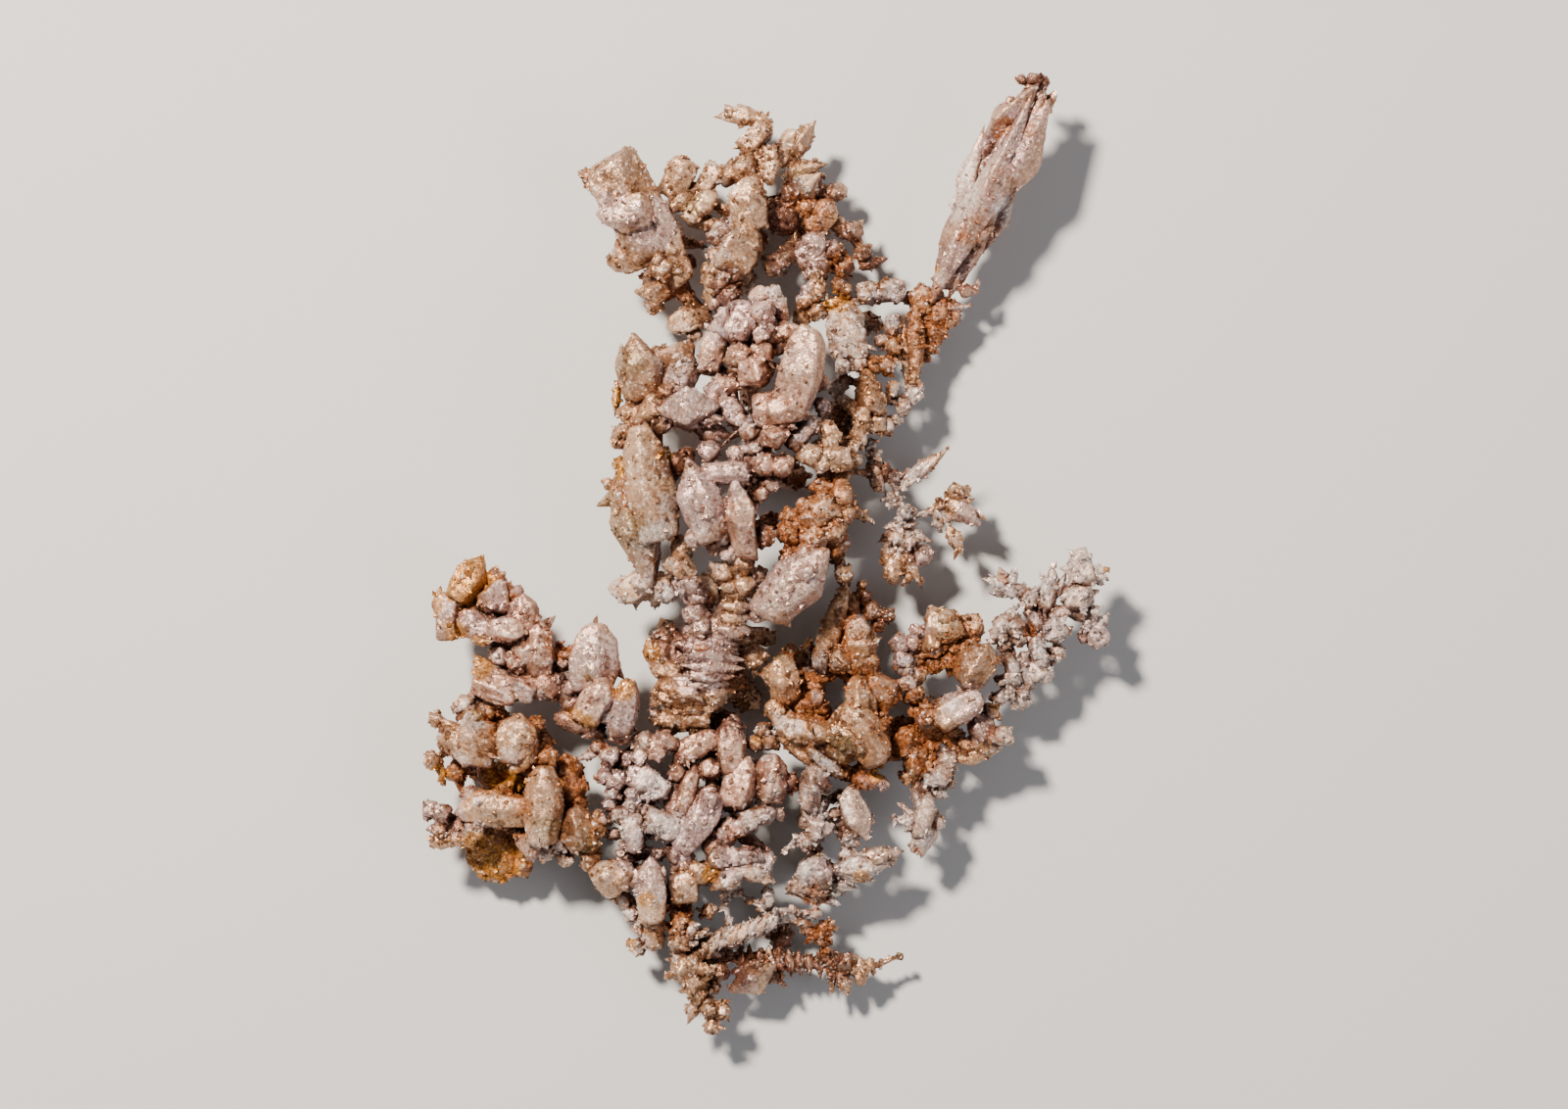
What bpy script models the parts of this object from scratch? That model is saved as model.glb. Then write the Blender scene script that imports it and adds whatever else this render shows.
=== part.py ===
"""A branching specimen of native copper, lying on its back: crystals grown together along forked stems.

Metres, +Z up, X across, Y along. The tables below are in millimetres. The stems run through the
middle of the depth and the crystals stand on them towards +Z. The blunt ones that reach down to
REST_LEVEL end flat there, and the specimen rests on them. It is split at its main forks.
"""

import math
import random

import bmesh
import bpy
from mathutils import Matrix, Vector

MM = 0.001
SIZE = 1.0  # the whole specimen, against the 157 mm of the tables
CLEARANCE = 0.6  # mm that a branch keeps from its neighbour's crystals before its facets are cut
GRAIN = 0.45  # mm, the finest step that the joined crystals keep
FACETS_KEPT = {"bold": 0.017, "fine": 0.030}  # share of those steps left as flat facets
REST_LEVEL = 5.5  # mm in the tables, where the lowest crystals are worn flat
ROUGHNESS = 0.12  # how far a facet's corner wanders from its even place, as a share of the radius
CORNER_DRIFT = 0.16  # how far it wanders round the crystal, as a share of the angle between corners
FLATTEN = 0.82  # depth of a crystal against its width
SHARP_TIP = 0.2  # below this share of the width, a cross-section is a single point
SIX_SIDED = 5.0  # mm, the width from which a crystal has six sides and not five
GRIP = 0.2  # share of a stem's width that each length of it runs on past its ends
BACK_PITCH = 9.0  # mm along a stem between the crystals on its back
BACK_REACH = 7.5  # mm that those crystals stand out
BACK_LEAN = 2.2  # mm that their tips lean sideways, at most
THIN_STEM = 2.5  # mm, the width under which a stem has none
GOLDEN_ANGLE = math.pi * (3 - math.sqrt(5))  # spreads a lump's corners evenly round it

# Cross-sections along a crystal: (share of its length, share of its width)
PROFILES = {
    "stub": ((0.0, 0.62), (0.18, 0.97), (0.70, 0.94), (0.90, 0.72), (1.0, 0.44)),
    "spear": ((0.0, 0.50), (0.30, 0.93), (0.60, 1.0), (0.85, 0.64), (1.0, 0.18)),
    "point": ((0.0, 0.72), (0.38, 1.0), (1.0, 0.07)),
    "lens": ((0.0, 0.22), (0.42, 1.0), (0.72, 0.82), (1.0, 0.12)),
    "block": ((0.0, 0.86), (0.5, 1.02), (1.0, 0.80)),
}

# Each branch: stems as (x, y, z, width) along a path; crystals as (form, base, tip, width);
# lumps as (x, y, z, width); braids as (start, end, plate length, plate width, pitch, lean in degrees).
BRANCHES = {
    "core_stem": {
        "look": "tan",
        "stems": [
            [(-4.5, -1, 23, 4), (-4.5, -5, 22, 4.5), (-6, -10, 21, 5), (-8.5, -15, 19, 8),
             (-10.5, -20, 18, 9), (-12, -25, 18, 7), (-13.5, -28, 17, 5)],
            [(-13.5, 0.5, 21, 4), (-12.8, -5, 21, 3.8), (-11, -9, 20.5, 4), (-9.5, -13.5, 20, 4.5)],
            [(-13, -3.5, 20, 3), (-18, -5, 19, 3.4), (-23.5, -5.4, 18, 3)],
            [(-8, -16, 17, 4), (-3, -16.8, 15, 2.6)],
        ],
        "crystals": [
            ("stub", (-17.3, -16.6, 17), (-17, -11.7, 17), 4),
            ("stub", (-14.5, -17, 18), (-14.6, -13, 18), 3),
            ("lens", (-18.6, -18.2, 17), (-19.2, -13, 17.5), 1.9),
            ("stub", (-14.6, -18.9, 18), (-19.1, -18.6, 17), 3.4),
            ("stub", (-12.5, -22.3, 20), (-18.9, -22.2, 19.5), 5),
            ("stub", (-10.2, -26.3, 19), (-19, -26.3, 18), 3.6),
            ("stub", (-11, -27.7, 17), (-17.6, -28.3, 16.5), 2.6),
            ("lens", (-12, -23.2, 20), (-5.4, -22.1, 18), 4.6),
            ("lens", (-12, -24.3, 20.5), (-7.2, -25, 18), 2.4),
            ("lens", (-12.2, -14.5, 22), (-4.4, -14.4, 20), 2.4),
            ("lens", (-12.8, -16.3, 23.5), (-3.4, -17.2, 20), 2.5),
            ("lens", (-13, -18, 23.5), (-3.2, -18.5, 20), 2.3),
            ("lens", (-13, -19.6, 23), (-4.8, -19.8, 20), 2.3),
            ("lens", (-13, -21.2, 22), (-5.8, -20.9, 19), 2.4),
            ("lens", (-9.5, -15.2, 22), (-15.4, -14.3, 20.5), 2.6),
            ("lens", (-9.5, -17.3, 22.5), (-15.2, -17, 20.5), 2.4),
            ("lens", (-6.4, -6.2, 24), (-1.3, -6, 23.5), 2.7),
            ("lens", (-7, -8.2, 24), (-1.9, -8.2, 23), 2.5),
            ("lens", (-7.9, -10.1, 23), (-2.6, -10.2, 22.5), 2.6),
            ("lens", (-8, -12, 23), (-2.3, -12.4, 22), 2.7),
            ("stub", (-2.5, -9.6, 22), (-0.4, -9.6, 22), 2.6),
            ("stub", (-17, -4.6, 20), (-25.8, -5.4, 18), 4.4),
            ("point", (-21.3, -5.6, 18), (-21.4, -9.3, 17), 2.2),
            ("point", (-18, -6, 19), (-18.4, -8.9, 17), 2.3),
            ("point", (-23.3, -5.6, 18), (-23.1, -8.3, 17), 2),
        ],
        "lumps": [
            (-12.7, -13, 17, 2.8), (-11.5, -28, 17, 3), (-4, -1.3, 26, 4), (-1.5, -3.3, 24.5, 3),
            (-7, -2.7, 24.5, 3.6), (-3.4, -4.9, 25, 3.4), (-6, -5, 24, 3), (-2, -16.6, 16, 4),
            (-5, -20.6, 16, 2.8), (-12, -9.6, 22, 3.2), (-10.8, -11.8, 22, 3), (-14, 1.2, 22.5, 3.6),
            (-14, -1.7, 23.5, 4.4), (-12.5, -4.7, 23.5, 3.6), (-11.5, -6.8, 22.5, 2.8),
            (-20, -4.4, 21, 4.2), (-16.8, -6, 21, 4),
        ],
        "feet": [((-9, -19, 14), (-9.5, -20, -2), 10.5), ((-11, -6, 17), (-12, -5, 6), 5)],
        "deep": [
            ((-10, -9, 14), (-8.6, -2, 10), 5),
            ((-6, -13, 14), (2, -13.6, 9), 5),
            ((-7, -20, 14), (-1.2, -25.2, 8), 6.5),
            ((-14, -14.5, 14), (-17.8, -10.2, 10), 4),
        ],
    },
    "upper_left_arm": {
        "look": "tan",
        "stems": [
            [(-9.5, 38.3, 15, 3.4), (-12.2, 41, 16, 3.2), (-15, 45.5, 17, 3.6), (-17.5, 51, 18.5, 5),
             (-21, 56, 20, 5)],
        ],
        "crystals": [
            ("stub", (-21, 53.5, 20), (-26.4, 64.4, 23), 8),
            ("stub", (-14.8, 46.5, 18), (-20.2, 60.4, 22), 6),
            ("lens", (-18.6, 56.8, 23), (-28.2, 55.1, 22), 5),
            ("stub", (-17.5, 50.6, 19), (-26.2, 47.8, 18), 5),
            ("lens", (-14.5, 44.2, 17), (-21.6, 43.1, 17), 4.4),
            ("stub", (-10.2, 39.2, 16), (-16.4, 37.4, 17), 4),
            ("point", (-15, 51.5, 14), (-9.6, 50.6, 12), 2),
        ],
        "lumps": [
            (-18.3, 41, 16, 3.4), (-29.3, 61.8, 20.5, 2.4), (-28, 60, 20, 2.6), (-17, 47, 19.5, 4.6),
            (-15.2, 52.6, 19, 2.4), (-12.8, 47.8, 15, 2.6), (-11.8, 36.2, 16, 2.2),
        ],
        "feet": [],
        "deep": [
            ((-16.5, 47, 14), (-21, 45.4, 10), 4),
            ((-14.5, 45, 13), (-12, 42.6, 9), 3.5),
        ],
    },
    "upper_crown": {
        "look": "tan",
        "stems": [
            [(-7, 39.5, 17, 4), (-7.5, 43, 17, 4), (-6, 48.5, 17, 4.5), (-4, 54, 17, 5),
             (-2.5, 60, 17, 4.5), (-1.3, 66, 16, 3.2), (-1.4, 70.5, 15, 2.6)],
            [(-5, 56, 17, 3), (-9.5, 57.6, 16, 2.8), (-13, 60.5, 15.5, 3)],
            [(-3, 57, 16, 3), (3, 58.4, 14, 3), (8, 57.6, 12.5, 3), (10.5, 55, 12, 2.5),
             (14, 52.2, 12, 2.4), (16, 49, 12.5, 2.2)],
            [(3, 57.5, 14, 3), (4.8, 53.5, 13.5, 3), (4, 49.5, 14, 3.2), (8, 48, 14.5, 3.2),
             (12.5, 47.8, 13.5, 2.6)],
            [(3, 59, 14, 2.6), (4, 64, 14.5, 2.6), (4.6, 67, 15, 2.4)],
        ],
        "crystals": [
            ("block", (-15.6, 59.2, 15.5), (-12.8, 64.6, 17.5), 4.2),
            ("block", (-10.4, 59.8, 16), (-7.9, 64, 16.5), 2.9),
            ("lens", (-11, 60.2, 16), (-16.8, 55.8, 16), 3.4),
            ("stub", (-12.4, 55.8, 17), (-8.2, 59, 18), 3.4),
            ("stub", (-6.8, 62.3, 17), (-2.1, 65, 17.5), 4),
            ("lens", (-0.8, 72.1, 15), (-8.2, 71.8, 14.5), 3),
            ("stub", (-1.6, 71.6, 15), (1, 70, 15), 2.3),
            ("block", (-3.8, 66.6, 16.5), (0, 70.2, 16.5), 3),
            ("stub", (0.9, 66, 17), (0.2, 60.3, 18.5), 2.6),
            ("stub", (-3.5, 54.8, 19), (-2.1, 61.8, 20), 6),
            ("stub", (-8, 44.5, 18.5), (-2, 54.7, 20.5), 6),
            ("stub", (-12.1, 54.9, 16), (-5.8, 53.3, 17), 2),
            ("stub", (-8.4, 41.2, 18.5), (-10.1, 47.8, 18.5), 3.2),
            ("point", (4.2, 66, 15), (8.1, 71.2, 16.5), 3.7),
            ("stub", (2.2, 64.8, 15), (4.4, 69.6, 16.5), 3),
            ("point", (3.8, 63, 15.5), (10.2, 63.9, 17), 2.9),
            ("lens", (3.6, 58.8, 15), (8.8, 62.4, 16.5), 4),
            ("stub", (8, 59, 13), (13.4, 60.2, 13), 3),
            ("stub", (7.7, 53.7, 13.5), (10.9, 58, 14.5), 4.6),
            ("stub", (11.2, 54.7, 13), (15.4, 51.6, 13), 2.9),
            ("point", (15, 47.4, 13), (19.8, 48.7, 13), 2.3),
            ("stub", (6.3, 48.6, 15.5), (9.2, 52.4, 16), 4.4),
            ("stub", (0.2, 46.9, 16), (4.8, 49.8, 15), 4.4),
            ("stub", (0.6, 56.2, 15), (5, 53.6, 14), 4),
        ],
        "lumps": [
            (-12.9, 56.8, 16.5, 2.4), (-8.4, 52, 18, 2.8), (-8.3, 49, 18.5, 2.6), (-6.2, 42.5, 19, 4.2),
            (-4.6, 46, 19, 4), (6.5, 57, 14.5, 3), (16, 49.5, 13.5, 2.8), (11, 50, 15, 3),
            (8, 46.5, 15.5, 4.4), (12.4, 47.4, 13.5, 3.6), (3.5, 59.4, 15, 3.2),
        ],
        "feet": [((-4, 52, 13), (-3, 53, -2), 7.5), ((6, 52, 12), (8, 53, 4), 4.5)],
        "deep": [
            ((-6.5, 43.5, 13), (-1.8, 46.6, 8), 5.5),
            ((3, 57, 12), (6.8, 54.2, 8), 4.5),
            ((9.5, 48, 12), (14.8, 45.4, 9), 3.5),
        ],
    },
    "upper_right_blade": {
        "look": "pink",
        "stems": [
            [(27.6, 44.6, 14, 3.4), (31, 47, 15, 4.5), (33.5, 54, 16, 5), (36.5, 62, 17, 5),
             (39.5, 70, 19, 4.5), (41.8, 74.8, 19, 2.6), (43.8, 77, 19, 1.9)],
        ],
        "crystals": [
            ("spear", (28.3, 43, 16), (37.2, 65, 21), 4.4),
            ("spear", (30.6, 42.4, 15), (39.4, 61.5, 18.5), 3.8),
            ("spear", (31.8, 49.5, 18.5), (42.4, 73.5, 22), 4.8),
            ("spear", (36.2, 54.5, 17), (45, 72.6, 21), 5.6),
            ("lens", (35.4, 67.6, 19), (43.6, 75.8, 22), 4.4),
            ("lens", (30.9, 55.2, 16), (35.7, 68, 19), 3.6),
            ("lens", (35.6, 51.6, 15), (40.6, 60.8, 17), 3.8),
            ("lens", (35.2, 63.6, 18), (36.6, 70, 19.5), 1.8),
            ("point", (31.4, 43.4, 15), (34.9, 43, 15), 2.2),
            ("point", (29.9, 51.6, 16), (29.2, 55, 16), 1.4),
        ],
        "lumps": [
            (45.6, 73.4, 19.5, 2.2), (46.6, 74.7, 19.5, 1.6), (44.3, 74.6, 20.5, 2), (41.4, 77.6, 19, 1.8),
            (43.4, 77.5, 19.5, 2.4), (45.2, 77.2, 19, 2),
        ],
        "feet": [((34, 56, 14), (34, 57, 6), 5), ((37.5, 66, 15), (38, 66, 9), 5)],
    },
    "right_upper_chain": {
        "look": "rust",
        "detail": "fine",
        "stems": [
            [(5.5, 40.3, 18, 3), (8, 40.4, 17, 2.6), (12.5, 41.6, 16, 2.4), (17, 41.5, 14.5, 2.4),
             (21.5, 42, 14, 2.4), (25.3, 41.6, 13, 3.2), (27.5, 38.5, 12, 4), (26.2, 34.5, 12, 2.4)],
            [(12, 40.5, 16, 2.4), (13, 37, 16, 4), (14, 33, 16, 3.6), (16.6, 31, 16, 2.8),
             (17, 26, 17, 3.4), (18.6, 22, 18, 2.6)],
            [(17, 31, 16, 2.6), (20.3, 31, 15.5, 2.4), (20.5, 36, 15, 2.2), (21, 38.6, 14.5, 2)],
            [(17.5, 25.5, 17, 2.6), (22, 25, 16, 2.2), (24, 26.5, 15, 2)],
        ],
        "crystals": [
            ("lens", (24.3, 27.6, 15), (24.4, 43, 15), 2.5),
            ("lens", (22.9, 27, 14.5), (22.4, 38.6, 15), 1.6),
            ("stub", (15.7, 43.2, 16), (22.4, 43.5, 16), 2.7),
            ("stub", (24.2, 42.4, 14), (28.8, 43, 14), 2.8),
            ("stub", (11.6, 39.6, 17.5), (10.3, 35.8, 18), 3.2),
            ("stub", (12.4, 39.4, 18), (15.8, 34.2, 18.5), 4.6),
            ("stub", (11.6, 35.2, 17.5), (16.4, 32.6, 18), 4.2),
            ("lens", (11.5, 31.4, 16), (10.2, 34.2, 16), 1.2),
            ("stub", (16.7, 24, 20), (16.9, 28.4, 19.5), 4.4),
            ("stub", (16.3, 22.2, 19), (20.6, 20.4, 18.5), 3.4),
            ("stub", (6.8, 42.4, 18), (9.7, 44.2, 18), 3),
            ("lens", (8.4, 41, 18), (15.4, 41, 17), 1.9),
            ("stub", (12.6, 28.8, 15.5), (11.2, 25.4, 16), 2.7),
            ("point", (29, 40.6, 13.5), (33.8, 40.8, 14), 2),
            ("stub", (28.4, 41, 13), (31.3, 37.9, 13), 2.4),
        ],
        "lumps": [
            (25.6, 41.3, 13.5, 4), (28.2, 39.9, 13, 4.4), (29.8, 38.4, 13, 2.8), (27.6, 36.8, 12.5, 4.2),
            (26.4, 34, 12.5, 2.8), (26.4, 32.3, 12.5, 1.4), (16, 42.4, 16.5, 2.4), (21.3, 42.6, 16, 2.4),
            (11.6, 44.2, 17, 2.4), (13, 43.3, 17, 2.2), (12.5, 30.8, 17.5, 2.8), (15.2, 31.3, 17.5, 2.4),
            (17.7, 31.3, 17.5, 2.5), (19.6, 31, 17, 3), (20.6, 34.2, 16.5, 2.4), (18.6, 35, 15.5, 2.2),
            (20.6, 38, 15.5, 2.4), (16.5, 28.9, 18, 2.6), (20.5, 27.2, 17, 2.2), (23.8, 26.2, 15.5, 2.8),
            (25.2, 27.5, 15, 1.4), (22.2, 24.3, 16, 2.4), (20.8, 21.8, 17, 2), (5.6, 38.5, 18, 2.8),
            (8, 39.7, 18, 2.6), (6.2, 41.6, 18.5, 2.6),
        ],
        "feet": [((26.5, 38, 10), (27, 38, 4), 4), ((14, 34, 14), (14, 33, 5), 4.5)],
        "deep": [
            ((14, 37, 13), (19.4, 38.6, 9), 5),
        ],
    },
    "left_column": {
        "look": "tan",
        "stems": [
            [(-10.3, 22.4, 24, 4), (-13, 23, 24.5, 5), (-19, 23, 24, 5), (-20.5, 28, 23, 5)],
            [(-19, 22, 24, 5), (-18.5, 14, 24, 5), (-19, 6, 23, 5), (-18, 0.5, 21.5, 3.4)],
            [(-14.5, 24, 23, 3), (-14.5, 28, 22, 3)],
        ],
        "crystals": [
            ("spear", (-20.2, 24.6, 24), (-21.4, 35.8, 25.5), 7.2),
            ("stub", (-15.9, 27.6, 23), (-11.8, 34, 24), 5.4),
            ("lens", (-24.2, 28.3, 22), (-24.7, 22.4, 22), 1.6),
            ("stub", (-17.3, 21.8, 25), (-24.4, 23.2, 24), 4.6),
            ("lens", (-17, 23.4, 28.5), (-7.6, 24, 29), 6.8),
            ("lens", (-12.2, 20.8, 26), (-5.5, 19.1, 25), 3.6),
            ("spear", (-17.8, 1.8, 26), (-21, 21.2, 29), 7),
            ("spear", (-18.6, -1.6, 23), (-23.6, 14.2, 26.5), 7.2),
            ("point", (-19.6, 1.5, 22), (-18.2, -4, 21), 3.4),
            ("point", (-24.2, 9.6, 22.5), (-27.7, 7.9, 22), 2.4),
            ("stub", (-16.6, 12.9, 25), (-12.2, 17.4, 24), 3.6),
            ("stub", (-16.8, 5.2, 24), (-13.7, 11, 24), 2.4),
        ],
        "lumps": [
            (-18.2, 24.1, 25.5, 4), (-17, 21.4, 25.5, 3.6), (-23, 19, 25, 4.2), (-25.6, 11.6, 23, 1.9),
            (-24, 14.6, 24.5, 2), (-15.9, 4, 23, 2.8), (-16.4, 26.2, 24.5, 3),
        ],
        "feet": [((-18, 14, 19), (-18, 15, 7), 6.5), ((-20, 28, 19), (-20, 28, 13), 5)],
    },
    "centre_crystals": {
        "look": "pink",
        "stems": [
            [(-5, 38, 20, 5), (-3, 35, 22, 5), (-3.2, 30.5, 23, 5), (-6.2, 27.2, 23, 3.6),
             (-5, 23.4, 24, 3.6), (-1.8, 19.8, 25, 4.5), (0, 14, 26, 5), (-3, 8, 26, 5), (-5, 2, 26, 5)],
            [(-1.5, 20, 25, 4), (3.5, 22.5, 25, 5), (5.2, 28, 25, 4.5), (5.8, 33, 25, 4)],
            [(-3, 36, 21, 4), (-1, 41, 21, 3), (2.4, 41, 20, 2.4)],
            [(-4, 8, 26, 4), (-9.5, 7, 26, 4), (-11.5, 3.4, 25, 3)],
        ],
        "crystals": [
            ("stub", (-7, 36.6, 26), (-2.8, 40.8, 27), 5.8),
            ("stub", (0.2, 34.7, 26), (5.7, 36.3, 26), 3.2),
            ("spear", (-9.2, 30.1, 25), (-7.5, 38.2, 26), 4),
            ("lens", (-11.2, 32.3, 24), (-6.4, 30, 24), 1.8),
            ("stub", (-8.8, 25.8, 26), (-4.2, 28.2, 26.5), 3),
            ("stub", (-8.2, 25.4, 26), (-2.7, 20.8, 26.5), 3.2),
            ("stub", (0.7, 42.8, 24), (3.3, 37.8, 24.5), 2.8),
            ("spear", (3.8, 23.6, 28), (7, 37, 32), 6.4),
            ("stub", (-0.8, 22.6, 27), (6.3, 25, 29), 6.2),
            ("stub", (4.4, 18, 26.5), (7.8, 22.5, 26.5), 2.8),
            ("stub", (-4.8, 13.8, 29), (-5.2, 17.8, 29), 2.4),
            ("block", (-3.4, 13.4, 32), (-10.6, 13.2, 32), 3),
            ("spear", (-8.4, 2.2, 29.5), (-12.4, 15.2, 33.5), 6),
            ("spear", (-3, -0.4, 28.5), (-5.2, 12.2, 32.5), 5),
            ("stub", (-4, 16.9, 28), (-0.2, 17.3, 28), 2.1),
        ],
        "lumps": [
            (-1, 38.8, 27.5, 4.2), (-4, 37, 28.5, 4.6), (-0.8, 36, 28.5, 3.4), (2, 33.6, 25.5, 2.8),
            (-0.4, 32.4, 28.5, 3.6), (-4.4, 32, 28, 4), (-2, 30.2, 28, 6), (-7.8, 28.4, 24.5, 2.2),
            (-2.6, 20.2, 27, 3.6), (-1, 42, 23.5, 3.4), (9, 24.2, 24.5, 2.8), (8.8, 27.8, 25, 2.6),
            (-9.3, 16.6, 27, 3.6), (2.3, 14.3, 30, 3.6), (-0.5, 14.5, 30, 3.8), (1, 19, 29, 4.4),
            (-1, 10, 28.5, 2.8), (0.8, 11.6, 28, 2.6), (-0.4, 3, 27, 3.6), (-7, 3, 28.5, 3),
            (-6.2, 0.6, 27.5, 3), (-8.4, 1.4, 27, 3), (-11.6, 2.8, 25.5, 3.2),
        ],
        "feet": [((-3, 32, 17), (-3, 33, 6), 6), ((-2, 14, 20), (-2, 13, 7), 8)],
        "deep": [
            ((-3.2, 31, 17), (-1.8, 23.6, 12), 5),
            ((1, 15, 19), (6.4, 12, 13), 6),
            ((-2, 4, 20), (2, 6.4, 15), 4),
        ],
    },
    "right_centre": {
        "look": "tan",
        "stems": [
            [(5, 16.4, 24, 3.6), (9, 15, 23, 4), (11, 10, 22, 5), (10, 4, 21, 5), (11.5, 0, 19.5, 4),
             (12.6, -3.6, 18.5, 3)],
            [(10.5, 16, 23, 2.6), (14, 18.5, 21, 2.2), (15.4, 22.6, 19.5, 2)],
            [(9, 3, 22, 4), (4, 4, 23, 3.4)],
        ],
        "crystals": [
            ("stub", (10.4, 16.8, 26), (9.6, 21.8, 26), 3.4),
            ("stub", (12.4, 15.6, 27), (4.9, 16.3, 27), 3.9),
            ("stub", (15.5, 22.3, 20), (12.6, 25.8, 19), 2),
            ("stub", (15.7, 23.2, 20.5), (14.5, 17.4, 22), 2.5),
            ("lens", (6.4, 10.9, 25), (11.4, 11.3, 25), 2.3),
            ("point", (13.4, 7.5, 21.5), (17.7, 5.3, 20.5), 1.9),
            ("spear", (-0.4, -9.8, 26.5), (9.9, 0.9, 30.5), 7.4),
            ("lens", (-1.6, -10.6, 25), (4.5, -5.6, 26.5), 3.2),
            ("stub", (7.6, 1.5, 23), (6, -2.5, 26), 5),
        ],
        "lumps": [
            (14, 17.4, 23.5, 2.2), (13.9, 15.3, 24, 2.4), (12, 12, 24, 3.4), (12, 9.5, 24.5, 4.2),
            (12.3, 7, 24, 4.4), (9, 7.6, 25.5, 5), (6.8, 6.4, 25, 4.6), (10.4, 4.3, 24.5, 5),
            (7.8, 3, 25, 4.4), (11.5, 1.8, 22, 3.6), (4, 6, 24.5, 3.4), (3.4, 3.4, 24.5, 3.4),
            (12.6, -3.3, 19.5, 3),
        ],
        "feet": [((10, 8, 18), (10, 8, 6), 6), ((5, -3, 24), (5, -4, 15), 4.5)],
        "deep": [
            ((10.5, 17, 18), (12.4, 25.4, 12), 6.5),
            ((5, 1, 18), (0.6, -5, 13), 4),
        ],
    },
    "small_right_sprays": {
        "look": "tan",
        "detail": "fine",
        "stems": [
            [(14, 13.5, 20.5, 2), (17.8, 13, 18, 1.9), (20.6, 12, 17, 2), (22, 9, 16, 1.8),
             (21.6, 6.8, 16, 1.9), (21.8, 3.8, 15.5, 2), (23.8, 2, 15, 2), (25.4, 0.2, 15, 2.4)],
            [(22, 7, 16, 1.7), (25, 6.5, 15.5, 1.6), (27.4, 7.4, 15, 1.5), (29.6, 8.8, 15, 2),
             (31, 9.8, 15, 2.2)],
            [(21.8, 3.8, 15.5, 1.8), (21.6, 0.6, 15, 1.8)],
        ],
        "crystals": [
            ("stub", (18.4, 10.6, 17.5), (17.3, 15.2, 18), 1.9),
            ("lens", (21.8, 10.8, 17.5), (29.7, 17.5, 19), 2.6),
            ("lens", (21.4, 11.9, 17), (25.4, 13.7, 17.5), 1.8),
            ("point", (22.2, 5, 15.5), (18.9, 4.4, 15), 1.5),
            ("point", (21.8, 4.9, 15.5), (25, 5.2, 15.5), 1.6),
            ("point", (20.9, 3.6, 15.5), (17.8, 1.9, 15), 1.5),
            ("point", (23.6, 3.5, 15.5), (27.2, 2.1, 15.5), 1.7),
            ("stub", (21.6, 0.8, 15.5), (20.4, -4.8, 16), 2.9),
            ("point", (22.4, 0.2, 15.5), (25.4, -5.5, 15.5), 2.2),
            ("point", (30.4, 8.6, 15.5), (34.9, 4.7, 16.5), 4),
            ("lens", (29.6, 5, 15.5), (32.1, 0.2, 15.5), 2.3),
            ("stub", (20.4, 2.2, 15), (19.2, -1.8, 14.5), 1.7),
        ],
        "lumps": [
            (19.4, 14, 17.5, 2), (21, 13, 17.5, 2), (17, 18.2, 18, 1.8), (17.5, 16.3, 18, 2),
            (20.4, 9.2, 16.5, 2), (22.7, 7, 16.5, 2.2), (21.4, 2.9, 16, 2.4), (23.4, 2.3, 16, 2.4),
            (25.5, 0, 15.5, 3.2), (23.2, -3.6, 15.5, 1.8), (28.4, 8.3, 15.5, 1.7), (31, 10.1, 15.5, 3),
            (29.8, 6.4, 15.5, 1.6), (27.8, 5.2, 15, 1.6),
        ],
        "feet": [],
    },
    "lower_left_upper_arm": {
        "look": "pink",
        "stems": [
            [(-22, -29, 18, 3.6), (-24.5, -27, 19, 4), (-28, -25.5, 19, 5), (-32, -23, 19, 4.5),
             (-36, -20, 18.5, 6), (-40, -15.5, 18, 7), (-44, -12, 18, 7), (-49, -10, 18, 6),
             (-48.5, -5.5, 18, 4)],
            [(-29, -24.5, 19, 4), (-28.5, -20, 19, 4)],
        ],
        "crystals": [
            ("spear", (-50.8, -7.4, 21), (-46.1, 0, 21), 4.4),
            ("lens", (-53.6, -10.4, 18.5), (-53.2, -5.2, 18.5), 2.3),
            ("block", (-51.6, -13, 19), (-51.6, -6.2, 19.5), 4.4),
            ("stub", (-40, -13, 20.5), (-39.6, -6.4, 21.5), 5),
            ("stub", (-47.2, -11.7, 22), (-39.2, -12.2, 22.5), 4.6),
            ("stub", (-37.4, -18.2, 20.5), (-36.5, -11.1, 22), 5.4),
            ("lens", (-38, -13.5, 18), (-34.6, -10, 17), 2),
            ("lens", (-37, -16.8, 18), (-32.8, -15.2, 17.5), 2.6),
            ("stub", (-46, -21.6, 20), (-33.3, -21.8, 20.5), 4.4),
            ("point", (-44.6, -20.4, 18), (-48, -16, 17), 3.6),
            ("spear", (-28.5, -21.6, 21.5), (-27.4, -10.8, 24), 6.2),
            ("point", (-26.4, -16.4, 20), (-23.2, -20.3, 19), 2.4),
            ("stub", (-29, -25.8, 23), (-26, -20, 24.5), 5.4),
            ("stub", (-29, -27.4, 20), (-34.4, -26.1, 20.5), 3.4),
            ("spear", (-23.9, -28.8, 21.5), (-22.3, -20.2, 24), 4.8),
            ("lens", (-25.6, -30, 20.5), (-20.7, -28.7, 20), 2.4),
        ],
        "lumps": [
            (-44.3, -4, 19, 3.4), (-44.5, -7.2, 20, 5.4), (-41.4, -6.6, 18.5, 3.4), (-48, -11, 21, 4.4),
            (-46.5, -13.6, 18.5, 2.8), (-43.4, -16.4, 19.5, 3.4), (-40.6, -17.4, 21, 3.4),
            (-39, -15.8, 21, 4.6), (-33, -17.3, 19.5, 3.4), (-33.7, -20.4, 20.5, 2.2),
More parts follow.
